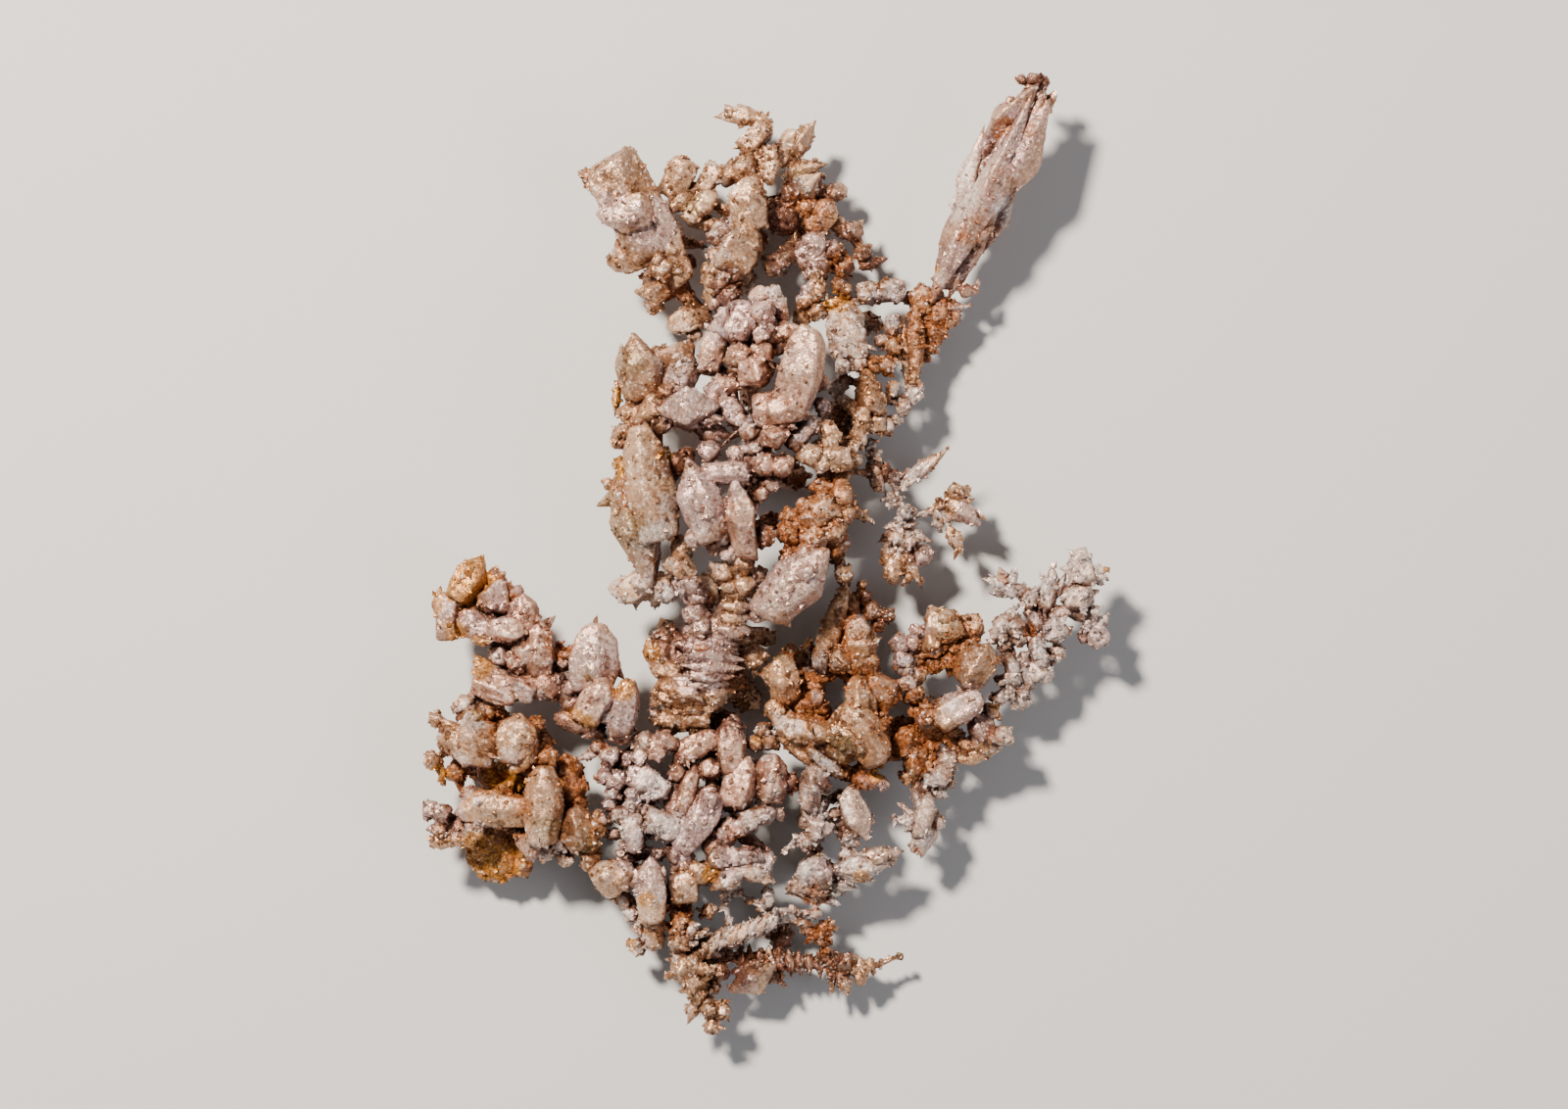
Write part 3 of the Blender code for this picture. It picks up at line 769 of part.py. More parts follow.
            (8, -41.8, 17.5, 3.4), (8.4, -44.5, 17.5, 4), (6.9, -46.8, 16.5, 2.6), (13.5, -46.3, 16.5, 2.8),
            (13, -49, 16, 2.4), (5, -54.4, 15.5, 2.8), (8.2, -55, 16, 3),
        ],
        "feet": [((8, -44, 13), (8, -44, 6), 4.5), ((8, -52, 12), (8, -52, 5), 5)],
    },
}

COLOURS = {
    "tan": (0.44, 0.26, 0.18, 1.0),
    "pink": (0.48, 0.29, 0.23, 1.0),
    "rust": (0.36, 0.13, 0.05, 1.0),
    "grey": (0.45, 0.36, 0.33, 1.0),
}


def hull_of(points):
    """The convex solid around points in millimetres, as a mesh in metres."""
    shape = bmesh.new()
    for point in points:
        shape.verts.new(Vector(point) * (MM * SIZE))
    bmesh.ops.remove_doubles(shape, verts=shape.verts, dist=1e-6)
    found = bmesh.ops.convex_hull(shape, input=shape.verts, use_existing_faces=False)
    inside = found["geom_interior"] + found["geom_unused"]
    loose = {v for v in inside if isinstance(v, bmesh.types.BMVert)}
    bmesh.ops.delete(shape, geom=list(loose), context="VERTS")
    bmesh.ops.recalc_face_normals(shape, faces=shape.faces)
    return shape


def ring(centre, side, deep, radius, depth, sides, turn, dice):
    """Corners of one cross-section, each a little off its even place."""
    corners = []
    for k in range(sides):
        angle = turn + (k + dice.uniform(-CORNER_DRIFT, CORNER_DRIFT)) * math.tau / sides
        reach = radius * dice.uniform(1 - ROUGHNESS, 1 + ROUGHNESS)
        across = side * (math.cos(angle) * reach)
        corners.append(centre + across + deep * (math.sin(angle) * reach * depth))
    return corners


def frame_along(base, tip):
    """The crystal's own directions: along it, across it in plan, and through its depth."""
    along = (tip - base).normalized()
    side = along.cross(Vector((0, 0, 1)))
    side = side.normalized() if side.length > 0.2 else Vector((1, 0, 0))
    return along, side, side.cross(along).normalized()


def crystal(form, base, tip, width, dice):
    """One crystal from its base to its tip, in one of the forms of PROFILES."""
    base, tip = Vector(base), Vector(tip)
    _, side, deep = frame_along(base, tip)
    square = form == "block"
    sides = 4 if square else 6 if width > SIX_SIDED else 5
    turn = math.pi / 4 + dice.uniform(-0.2, 0.2) if square else dice.uniform(0, math.tau)
    radius = width / 2 * (1.3 if square else 1.12)
    points = []
    for share, wide in PROFILES[form]:
        middle = base.lerp(tip, share)
        if wide < SHARP_TIP:
            points.append(middle)
            continue
        points += ring(middle, side, deep, radius * wide, FLATTEN, sides, turn, dice)
    return hull_of(points)


def lump(centre, width, dice):
    """A rounded crystal without a long direction."""
    corners = 8 if width < 2.6 else 10 if width < 4 else 13
    start = dice.uniform(0, math.tau)
    points = []
    for k in range(corners):
        height = 1 - 2 * (k + 0.5) / corners
        angle = start + k * GOLDEN_ANGLE
        flat = math.sqrt(1 - height * height)
        reach = width / 2 * dice.uniform(1, 1 + ROUGHNESS * 1.6)
        direction = Vector((flat * math.cos(angle), flat * math.sin(angle), height))
        points.append(Vector(centre) + direction * reach)
    return hull_of(points)


def stem_piece(start, end, start_width, end_width, dice, sides=5):
    """A length of stem, run a little past both ends so that it grips what comes next."""
    along, side, deep = frame_along(start, end)
    turn = dice.uniform(0, math.tau)
    points = ring(start - along * start_width * GRIP, side, deep, start_width / 2, 1, sides, turn, dice)
    points += ring(end + along * end_width * GRIP, side, deep, end_width / 2, 1, sides, turn, dice)
    return hull_of(points)


def nearest_on(stems, point):
    """The closest place on the branch's stems, and how wide the stem is there."""
    best = None
    for path in stems:
        for (x0, y0, z0, w0), (x1, y1, z1, w1) in zip(path, path[1:]):
            start, run = Vector((x0, y0, z0)), Vector((x1 - x0, y1 - y0, z1 - z0))
            share = min(1, max(0, (point - start).dot(run) / run.length_squared))
            place = start + run * share
            gap = (point - place).length
            if best is None or gap < best[0]:
                best = (gap, place, w0 + (w1 - w0) * share)
    return best


def rooted(stems, point, width, dice):
    """What joins a crystal that doesn't already stand in its stem to the nearest place on it."""
    gap, place, stem_width = nearest_on(stems, point)
    if gap < stem_width * 0.36:
        return []
    return [stem_piece(place, point, min(stem_width, width) * 0.8, width * 0.62, dice, 4)]


def braid(start, end, length, width, pitch, lean, dice):
    """Small plates side by side along a stem, all leaning one way, as in a feather."""
    start, end = Vector(start), Vector(end)
    along = (end - start).normalized()
    angle = math.radians(lean) + math.atan2(along.y, along.x)
    plates = []
    for k in range(int((end - start).length / pitch)):
        middle = start + along * pitch * (k + 0.5)
        half = Vector((math.cos(angle), math.sin(angle), 0)) * length / 2 * dice.uniform(0.85, 1.15)
        half.z = dice.uniform(-0.3, 0.3)
        plates.append(crystal("lens", middle - half, middle + half, width * 1.25, dice))
    return plates


def back_crystals(stems, dice):
    """Crystals on the side that faces down, leaning away from the stem every way."""
    found = []
    for path in stems:
        travelled = BACK_PITCH * 0.5
        for (x0, y0, z0, w0), (x1, y1, z1, w1) in zip(path, path[1:]):
            start, end = Vector((x0, y0, z0)), Vector((x1, y1, z1))
            travelled += (end - start).length
            if travelled < BACK_PITCH or w1 < THIN_STEM:
                continue
            travelled = 0.0
            base = start.lerp(end, dice.uniform(0.3, 0.7))
            lean = [dice.uniform(-BACK_LEAN, BACK_LEAN) for _ in range(2)]
            tip = base + Vector((*lean, -BACK_REACH * dice.uniform(0.6, 1.0)))
            found.append(crystal("stub", base, tip, w1 * dice.uniform(0.7, 0.95), dice))
    return found


def branch_hulls(name, table):
    """Every convex piece that the branch is grown from."""
    dice = random.Random(name)
    stems = table["stems"]
    hulls = []
    for path in stems:
        for (x0, y0, z0, w0), (x1, y1, z1, w1) in zip(path, path[1:]):
            hulls.append(stem_piece(Vector((x0, y0, z0)), Vector((x1, y1, z1)), w0, w1, dice))
    for form, base, tip, width in table["crystals"]:
        hulls.append(crystal(form, base, tip, width, dice))
        hulls += rooted(stems, Vector(base).lerp(Vector(tip), 0.12), width, dice)
    for x, y, z, width in table["lumps"]:
        hulls.append(lump((x, y, z), width, dice))
        hulls += rooted(stems, Vector((x, y, z)), width, dice)
    for base, tip, width in table["feet"] + table.get("deep", []):
        hulls.append(crystal("stub", base, tip, width, dice))
        hulls += rooted(stems, Vector(base), width, dice)
    for row in table.get("braids", ()):
        hulls += braid(*row, dice)
    hulls += back_crystals(stems, dice)
    return hulls


def grown(shape, by):
    """A copy of a hull with every face moved outwards."""
    bigger = shape.copy()
    bigger.normal_update()
    moved = {v: v.co + v.normal * (by * MM * v.calc_shell_factor()) for v in bigger.verts}
    for v, co in moved.items():
        v.co = co
    return bigger


def span(shape):
    """The lowest and highest corner of a hull's box."""
    low = [min(v.co[i] for v in shape.verts) for i in range(3)]
    high = [max(v.co[i] for v in shape.verts) for i in range(3)]
    return low, high


def near(first, second):
    """Whether two boxes come within the clearance of each other."""
    reach = CLEARANCE * MM * 2
    return all(first[0][i] <= second[1][i] + reach and second[0][i] <= first[1][i] + reach for i in range(3))


def object_of(name, shapes):
    """Several hulls as one mesh object, not yet united."""
    corners, faces = [], []
    for shape in shapes:
        first = len(corners)
        shape.verts.index_update()
        corners += [tuple(v.co) for v in shape.verts]
        faces += [[first + v.index for v in face.verts] for face in shape.faces]
    mesh = bpy.data.meshes.new(name)
    mesh.from_pydata(corners, [], faces)
    thing = bpy.data.objects.new(name, mesh)
    bpy.context.scene.collection.objects.link(thing)
    return thing


def combined(target, operand, operation):
    """The target after an exact Boolean with the operand, which is used up."""
    step = target.modifiers.new("grown_together", "BOOLEAN")
    step.operation = operation
    step.solver = "EXACT"
    step.use_self = True
    step.object = operand
    settled = target.evaluated_get(bpy.context.evaluated_depsgraph_get())
    result = bpy.data.meshes.new_from_object(settled)
    target.modifiers.remove(step)
    target.data = result
    bpy.data.objects.remove(operand)
    return target


def faceted(thing, detail):
    """The crystals run into one skin, which is then cut back to flat facets."""
    skin = thing.modifiers.new("one_skin", "REMESH")
    skin.mode = "VOXEL"
    skin.voxel_size = GRAIN * MM
    flats = thing.modifiers.new("flat_facets", "DECIMATE")
    flats.ratio = FACETS_KEPT[detail]
    flats.use_collapse_triangulate = True
    settled = thing.evaluated_get(bpy.context.evaluated_depsgraph_get())
    result = bpy.data.meshes.new_from_object(settled)
    thing.modifiers.clear()
    thing.data = result


def islands_of(shape):
    """The corners of each closed surface, as a list of sets."""
    left = set(shape.verts)
    found = []
    while left:
        group, reach = set(), [left.pop()]
        while reach:
            v = reach.pop()
            group.add(v)
            for edge in v.link_edges:
                other = edge.other_vert(v)
                if other in left:
                    left.remove(other)
                    reach.append(other)
        found.append(group)
    return found


def extent(group):
    """How far a group of corners reaches, its three directions added up."""
    return sum(max(v.co[i] for v in group) - min(v.co[i] for v in group) for i in range(3))


def worn_flat(shape):
    """Cuts the crystals that reach below the resting level off flat there, and closes the cuts."""
    everything = shape.verts[:] + shape.edges[:] + shape.faces[:]
    level = Vector((0, 0, REST_LEVEL * MM * SIZE))
    down = Vector((0, 0, -1))
    bmesh.ops.bisect_plane(shape, geom=everything, dist=1e-7, plane_co=level, plane_no=down, clear_outer=True)
    bmesh.ops.holes_fill(shape, edges=[edge for edge in shape.edges if edge.is_boundary], sides=0)


def keep_one_body(thing):
    """The largest closed surface only: crumbs cut loose and hollows sealed inside are dropped."""
    shape = bmesh.new()
    shape.from_mesh(thing.data)
    groups = islands_of(shape)
    largest = max(groups, key=extent)
    crumbs = [v for group in groups if group is not largest for v in group]
    bmesh.ops.delete(shape, geom=crumbs, context="VERTS")
    worn_flat(shape)
    bmesh.ops.triangulate(shape, faces=shape.faces)
    shape.to_mesh(thing.data)
    shape.free()


def material_of(look):
    """Native copper in one of the colours of COLOURS."""
    name = f"native_copper_{look}"
    if name in bpy.data.materials:
        return bpy.data.materials[name]
    made = bpy.data.materials.new(name)
    made.use_nodes = True
    shader = made.node_tree.nodes["Principled BSDF"]
    shader.inputs["Base Color"].default_value = COLOURS[look]
    shader.inputs["Metallic"].default_value = 0.6
    shader.inputs["Roughness"].default_value = 0.5
    made.diffuse_color = COLOURS[look]
    return made


def set_down(things):
    """Moves the whole specimen so that the origin is under the centre of its outline, where it rests."""
    corners = [v.co for thing in things for v in thing.data.vertices]
    middle = [(min(co[i] for co in corners) + max(co[i] for co in corners)) / 2 for i in range(2)]
    for thing in things:
        thing.data.transform(Matrix.Translation((-middle[0], -middle[1], -REST_LEVEL * MM * SIZE)))


def main():
    for thing in list(bpy.data.objects):
        bpy.data.objects.remove(thing)
    placed = []  # the hulls of the branches made so far, with their boxes
    branches = []
    for name, table in BRANCHES.items():
        hulls = branch_hulls(name, table)
        boxes = [span(hull) for hull in hulls]
        branch = object_of(name, hulls)
        beside = [hull for hull, box in placed if any(near(box, own) for own in boxes)]
        if beside:
            neighbours = object_of("neighbours", [grown(hull, CLEARANCE) for hull in beside])
            branch = combined(branch, neighbours, "DIFFERENCE")
        faceted(branch, table.get("detail", "bold"))
        keep_one_body(branch)
        branch.data.materials.clear()
        branch.data.materials.append(material_of(table["look"]))
        branches.append(branch)
        placed += zip(hulls, boxes)
    set_down(branches)


main()
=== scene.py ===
"""The finish of a branching native copper specimen, which lies on its back on a pale floor.

Every crystal of every branch is shaped on its own: a convex body bounded by flat faces, with smaller
crystals grown on its sides and grains in the hollows between them. Oxide, rust, ochre and a grey film
are laid on by place. Tables are in millimetres, in the model's axes, with the floor at TABLE_LEVEL.
"""

import math
from functools import cache

import bmesh
import bpy
import numpy as np
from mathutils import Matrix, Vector
from mathutils.bvhtree import BVHTree


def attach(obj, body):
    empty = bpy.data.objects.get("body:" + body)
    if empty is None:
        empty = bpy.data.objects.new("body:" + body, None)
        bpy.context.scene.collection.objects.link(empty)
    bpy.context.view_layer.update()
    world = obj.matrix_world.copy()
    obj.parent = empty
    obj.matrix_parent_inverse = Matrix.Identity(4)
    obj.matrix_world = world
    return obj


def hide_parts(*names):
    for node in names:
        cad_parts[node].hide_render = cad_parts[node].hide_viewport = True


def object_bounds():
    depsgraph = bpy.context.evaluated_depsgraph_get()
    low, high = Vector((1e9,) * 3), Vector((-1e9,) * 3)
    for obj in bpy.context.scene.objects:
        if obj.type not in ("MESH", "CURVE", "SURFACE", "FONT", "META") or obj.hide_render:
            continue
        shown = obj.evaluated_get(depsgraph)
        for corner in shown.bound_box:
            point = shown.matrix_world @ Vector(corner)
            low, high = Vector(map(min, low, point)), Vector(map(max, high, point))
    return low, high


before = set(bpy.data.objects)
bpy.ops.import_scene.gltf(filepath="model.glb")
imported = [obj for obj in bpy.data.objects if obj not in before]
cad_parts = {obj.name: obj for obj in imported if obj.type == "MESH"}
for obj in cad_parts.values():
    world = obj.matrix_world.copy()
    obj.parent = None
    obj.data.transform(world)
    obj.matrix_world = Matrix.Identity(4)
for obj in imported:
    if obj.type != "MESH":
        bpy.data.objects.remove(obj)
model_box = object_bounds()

MM = 0.001
IMAGE = (1600, 1132)
PIXEL = 0.16  # mm of the specimen that one pixel covers
MIDDLE_PIXEL = (782.0, 566.6)  # where the model's own origin falls
MIDDLE_HEIGHT = 12.0  # mm, where the specimen's outline mostly lies
LENS, SENSOR = 120.0, 36.0  # mm
TABLE_LEVEL = 5.5  # mm, the height in the tables that is the floor
TABLE_MIDDLE = (-0.083, -0.01)  # mm, the place in the tables that is the model's origin

CORE_DRAWN_IN = 0.7  # mm that the solid inside is drawn in, under the crystals grown on it
CORE_THICKEST = 9.0  # mm, how far through the solid its other side is looked for, so that thin parts stay
CRISPNESS = 32  # how sharp the edge between two faces of a crystal is
FLATTEN = 0.82  # depth of a crystal against its width
BASE_SUNK = 0.08  # share of a crystal's length that its base runs on into what it grows from
EVEN_TURN = 2.4  # radians about Z from one direction to the next, which spreads them evenly over a ball
STEPPED_OVER = 2.0  # mm, the width over which a stub grew in steps and bears smaller crystals
HIDES_OVER = 2.4  # mm, the width over which a crystal can bury others and is never dropped
SHARP_OVER = 1.5  # how spiky a branch is whose lumps are all points
GRAINS_PER_MM2 = 0.75
POINTS_PER_MM2 = 0.035
GRAIN_SIZES = (0.38, 1.15)  # mm
LEAST_HEIGHT = 0.7  # mm above the floor that the grains keep
LOOK_WAYS = 16  # directions in which what stands over a place is looked for
LOOK_STEPS = (2.0, 3.0, 4.0, 5.2, 6.6, 8.2)  # mm out along each of them
LOOK_SLANT = 0.35  # how much a direction has to face away from the surface to count
CELL = 0.9  # mm, the grid that says what is filled
GRID_MARGIN = 12.0  # mm of empty cells round it, more than the last of those steps
MORE_ON_FACES = 0.25  # of rust and film, where the faces are large and smooth
RUST_FROM_BELOW = (7.0, 11.0)  # mm above the floor: as strong as it gets, and none

# Cross-sections along a crystal: (share of its length, share of its width)
PROFILES = {
    "stub": ((0.0, 0.84), (0.62, 1.0), (1.0, 0.54)),
    "spear": ((0.0, 0.78), (0.5, 1.0), (0.84, 0.72), (1.0, 0.22)),
    "taper": ((0.0, 0.72), (0.58, 1.0), (1.0, 0.14)),
    "blunt": ((0.0, 0.74), (0.42, 1.0), (0.78, 0.84), (1.0, 0.38)),
    "point": ((0.0, 0.80), (0.30, 1.0), (1.0, 0.07)),
    "lens": ((0.0, 0.22), (0.45, 1.0), (1.0, 0.14)),
    "block": ((0.0, 0.94), (0.82, 1.0), (1.0, 0.74)),
}


# Each branch: its look, how gritty it is, how many small points it carries and, where it isn't 1, how much
# its hollows count, which scales their painted shade and the rust and film there. A smooth branch is of large
# smooth crystals, stained on their open faces too.
# Then come its crystals as (form, base x, y, z, tip x, y, z, width), those on its back last, its lumps as
# (x, y, z, width), and its braids as (start, end, plate length, plate width, pitch, lean in degrees).
BRANCHES = {
    "core_stem": dict(look="tan", grit=1.1, spiky=0.5, hollows=0.7, crystals=[
        ("stub", -17.3, -16.6, 17, -17, -11.7, 17, 4), ("stub", -14.5, -17, 18, -14.6, -13, 18, 3),
        ("lens", -18.6, -18.2, 17, -19.2, -13, 17.5, 1.9), ("stub", -14.6, -18.9, 18, -19.1, -18.6, 17, 3.4),
        ("stub", -12.5, -22.3, 20, -18.9, -22.2, 19.5, 5), ("stub", -10.2, -26.3, 19, -19, -26.3, 18, 3.6),
        ("stub", -11, -27.7, 17, -17.6, -28.3, 16.5, 2.6), ("lens", -12, -23.2, 20, -5.4, -22.1, 18, 4.6),
        ("lens", -12, -24.3, 20.5, -7.2, -25, 18, 2.4), ("lens", -12.2, -14.5, 22, -4.4, -14.4, 20, 2.4),
        ("lens", -12.8, -16.3, 23.5, -3.4, -17.2, 20, 2.5), ("lens", -13, -18, 23.5, -3.2, -18.5, 20, 2.3),
        ("lens", -13, -19.6, 23, -4.8, -19.8, 20, 2.3), ("lens", -13, -21.2, 22, -5.8, -20.9, 19, 2.4),
        ("lens", -9.5, -15.2, 22, -15.4, -14.3, 20.5, 2.6),
        ("lens", -9.5, -17.3, 22.5, -15.2, -17, 20.5, 2.4), ("lens", -6.4, -6.2, 24, -1.3, -6, 23.5, 2.7),
        ("lens", -7, -8.2, 24, -1.9, -8.2, 23, 2.5), ("lens", -7.9, -10.1, 23, -2.6, -10.2, 22.5, 2.6),
        ("lens", -8, -12, 23, -2.3, -12.4, 22, 2.7), ("stub", -2.5, -9.6, 22, -0.4, -9.6, 22, 2.6),
        ("stub", -17, -4.6, 20, -25.8, -5.4, 18, 4.4), ("point", -21.3, -5.6, 18, -21.4, -9.3, 17, 2.2),
        ("point", -18, -6, 19, -18.4, -8.9, 17, 2.3), ("point", -23.3, -5.6, 18, -23.1, -8.3, 17, 2),
        ("back", -9, -19, 14, -9.2, -19.5, 6.4, 9.8), ("back", -11, -6, 17, -12, -5, 6.4, 4.9),
    ], lumps=[
        (-12.7, -13, 17, 2.8), (-11.5, -28, 17, 3), (-4, -1.3, 26, 4), (-1.5, -3.3, 24.5, 3),
        (-7, -2.7, 24.5, 3.6), (-3.4, -4.9, 25, 3.4), (-6, -5, 24, 3), (-2, -16.6, 16, 4),
        (-5, -20.6, 16, 2.8), (-12, -9.6, 22, 3.2), (-10.8, -11.8, 22, 3), (-14, 1.2, 22.5, 3.6),
        (-14, -1.7, 23.5, 4.4), (-12.5, -4.7, 23.5, 3.6), (-11.5, -6.8, 22.5, 2.8), (-20, -4.4, 21, 4.2),
        (-16.8, -6, 21, 4),
    ]),
    "upper_left_arm": dict(look="tan", grit=0.8, spiky=0.2, crystals=[
        ("block", -18, 49.6, 18.5, -26.2, 64.4, 23, 7.8), ("spear", -14.4, 45.6, 18, -20.8, 60.6, 21.8, 5.4),
        ("stub", -20.2, 55.7, 23, -27.6, 55.2, 22.6, 5.2), ("stub", -17.5, 50.6, 19, -26.2, 47.8, 18, 5),
        ("lens", -14.5, 44.2, 17, -21.6, 43.1, 17, 4.4), ("stub", -10.2, 39.2, 16, -16.4, 37.4, 17, 4),
        ("point", -15, 51.5, 14, -9.6, 50.6, 12, 2),
    ], lumps=[
        (-18.3, 41, 16, 3.4), (-29.3, 61.8, 20.5, 2.4), (-28, 60, 20, 2.6), (-17, 47, 19.5, 4.6),
        (-15.2, 52.6, 19, 2.4), (-12.8, 47.8, 15, 2.6), (-11.8, 36.2, 16, 2.2),
    ]),
    "upper_crown": dict(look="tan", grit=1.1, spiky=0.7, hollows=0.82, crystals=[
        ("block", -15.6, 59.2, 15.5, -12.8, 64.6, 17.5, 4.2), ("block", -10.4, 59.8, 16, -7.9, 64, 16.5, 2.9),
        ("lens", -11, 60.2, 16, -16.8, 55.8, 16, 3.4), ("stub", -12.4, 55.8, 17, -8.2, 59, 18, 3.4),
        ("stub", -6.8, 62.3, 17, -2.1, 65, 17.5, 4), ("lens", -0.8, 72.1, 15, -8.2, 71.8, 14.5, 3),
        ("stub", -1.6, 71.6, 15, 1, 70, 15, 2.3), ("block", -3.8, 66.6, 16.5, 0, 70.2, 16.5, 3),
        ("stub", 0.9, 66, 17, 0.2, 60.3, 18.5, 2.6), ("stub", -3.5, 54.8, 19, -2.1, 61.8, 20, 6),
        ("stub", -8, 44.5, 18.5, -2.4, 53.8, 20.5, 5.4), ("stub", -12.1, 54.9, 16, -5.8, 53.3, 17, 2),
        ("stub", -8.4, 41.2, 18.5, -10.1, 47.8, 18.5, 3.2), ("point", 4.2, 66, 15, 8.1, 71.2, 16.5, 3.7),
        ("stub", 2.2, 64.8, 15, 4.4, 69.6, 16.5, 3), ("point", 3.8, 63, 15.5, 10.2, 63.9, 17, 2.9),
        ("lens", 3.6, 58.8, 15, 8.8, 62.4, 16.5, 4), ("stub", 8, 59, 13, 13.4, 60.2, 13, 3),
        ("stub", 7.7, 53.7, 13.5, 10.9, 58, 14.5, 4.6), ("stub", 11.2, 54.7, 13, 15.4, 51.6, 13, 2.9),
        ("point", 15, 47.4, 13, 19.8, 48.7, 13, 2.3), ("stub", 6.3, 48.6, 15.5, 9.2, 52.4, 16, 4.4),
        ("stub", 0.2, 46.9, 16, 4.8, 49.8, 15, 4.4), ("stub", 0.6, 56.2, 15, 5, 53.6, 14, 4),
        ("back", -4, 52, 13, -3.6, 52.4, 6.4, 7.3), ("back", 6, 52, 12, 7.4, 52.7, 6.4, 4.4),
    ], lumps=[
        (-12.9, 56.8, 16.5, 2.4), (-8.4, 52, 18, 2.8), (-8.3, 49, 18.5, 2.6), (-6.2, 42.5, 19, 4.2),
        (-4.6, 46, 19, 4), (6.5, 57, 14.5, 3), (16, 49.5, 13.5, 2.8), (11, 50, 15, 3), (8, 46.5, 15.5, 4.4),
        (12.4, 47.4, 13.5, 3.6), (3.5, 59.4, 15, 3.2),
    ]),
    "upper_right_blade": dict(look="pink", grit=0.5, spiky=0.2, smooth=True, crystals=[
        ("lens", 27.6, 42.6, 15.5, 38, 65, 21, 4.1), ("lens", 30, 42.8, 15, 37.8, 57.6, 18.5, 3.1),
        ("lens", 31.2, 48.2, 19, 42.8, 74.2, 22.6, 4.2), ("lens", 37, 57, 18, 45.6, 73.4, 21.5, 6),
        ("lens", 35.2, 66.8, 19, 44, 76.4, 22, 4.6), ("lens", 41.2, 65.4, 20, 45.2, 75.6, 21, 3.2),
        ("lens", 31, 53, 16, 35.2, 69.2, 19.4, 3.6), ("lens", 31.2, 57.8, 17, 34.2, 67, 18.6, 3),
        ("lens", 36, 50.6, 15, 40.8, 60.8, 17.4, 3.4), ("lens", 35.2, 63.6, 18, 36.6, 70.4, 19.5, 2),
        ("point", 31.4, 43.4, 15, 34.9, 43, 15, 2.2), ("back", 34, 56, 14, 34, 57, 6.4, 4.9),
        ("back", 37.5, 66, 15, 38, 66, 9, 4.9),
    ], lumps=[
        (45.6, 73.4, 19.5, 2.2), (46.6, 74.7, 19.5, 1.6), (44.3, 74.6, 20.5, 2.4), (43.2, 75, 20.2, 2),
        (44.6, 72.6, 20.5, 2.4), (41.4, 77.6, 19, 1.8), (43.4, 77.5, 19.5, 2.4), (45.2, 77.2, 19, 2),
    ]),
    "right_upper_chain": dict(look="rust", grit=1.2, spiky=1.0, crystals=[
        ("lens", 24.3, 27.6, 15, 24.4, 43, 15, 2.5), ("lens", 22.9, 27, 14.5, 22.4, 38.6, 15, 1.6),
        ("stub", 15.7, 43.2, 16, 22.4, 43.5, 16, 2.7), ("stub", 24.2, 42.4, 14, 28.8, 43, 14, 2.8),
        ("stub", 11.6, 39.6, 17.5, 10.3, 35.8, 18, 3.2), ("stub", 12.4, 39.4, 18, 15.8, 34.2, 18.5, 4.6),
        ("stub", 11.6, 35.2, 17.5, 16.4, 32.6, 18, 4.2), ("lens", 11.5, 31.4, 16, 10.2, 34.2, 16, 1.2),
        ("stub", 16.7, 24, 20, 16.9, 28.4, 19.5, 4.4), ("stub", 16.3, 22.2, 19, 20.6, 20.4, 18.5, 3.4),
        ("stub", 6.8, 42.4, 18, 9.7, 44.2, 18, 3), ("lens", 8.4, 41, 18, 15.4, 41, 17, 1.9),
        ("stub", 12.6, 28.8, 15.5, 11.2, 25.4, 16, 2.7), ("point", 29, 40.6, 13.5, 33.8, 40.8, 14, 2),
        ("stub", 28.4, 41, 13, 31.3, 37.9, 13, 2.4), ("back", 26.5, 38, 10, 26.8, 38, 6.4, 3.9),
        ("back", 14, 34, 14, 14, 33.2, 6.4, 4.4),
    ], lumps=[
        (25.6, 41.3, 13.5, 4), (28.2, 39.9, 13, 4.4), (29.8, 38.4, 13, 2.8), (27.6, 36.8, 12.5, 4.2),
        (26.4, 34, 12.5, 2.8), (26.4, 32.3, 12.5, 1.4), (16, 42.4, 16.5, 2.4), (21.3, 42.6, 16, 2.4),
        (11.6, 44.2, 17, 2.4), (13, 43.3, 17, 2.2), (12.5, 30.8, 17.5, 2.8), (15.2, 31.3, 17.5, 2.4),
        (17.7, 31.3, 17.5, 2.5), (19.6, 31, 17, 3), (20.6, 34.2, 16.5, 2.4), (18.6, 35, 15.5, 2.2),
        (20.6, 38, 15.5, 2.4), (16.5, 28.9, 18, 2.6), (20.5, 27.2, 17, 2.2), (23.8, 26.2, 15.5, 2.8),
        (25.2, 27.5, 15, 1.4), (22.2, 24.3, 16, 2.4), (20.8, 21.8, 17, 2), (5.6, 38.5, 18, 2.8),
        (8, 39.7, 18, 2.6), (6.2, 41.6, 18.5, 2.6),
    ]),
    "left_column": dict(look="tan", grit=0.8, spiky=0.2, crystals=[
        ("taper", -20.2, 24.6, 24, -21.4, 35.8, 25.5, 7.2), ("stub", -15.9, 27.6, 23, -11.8, 34, 24, 5.4),
        ("lens", -24.2, 28.3, 22, -24.7, 22.4, 22, 1.6), ("stub", -17.3, 21.8, 25, -24.4, 23.2, 24, 4.6),
        ("lens", -17, 23.4, 28.5, -7.6, 24, 29, 6.8), ("lens", -12.2, 20.8, 26, -5.5, 19.1, 25, 3.6),
        ("blunt", -17.6, 3, 26, -20.8, 21.4, 29, 6.4), ("lens", -23.4, 14.4, 25.5, -18.8, -5, 23, 6.6),
        ("stub", -21.4, 13.2, 24, -24.4, 6.6, 23, 4.6), ("point", -19.6, 1.5, 22, -18.2, -4, 21, 3.4),
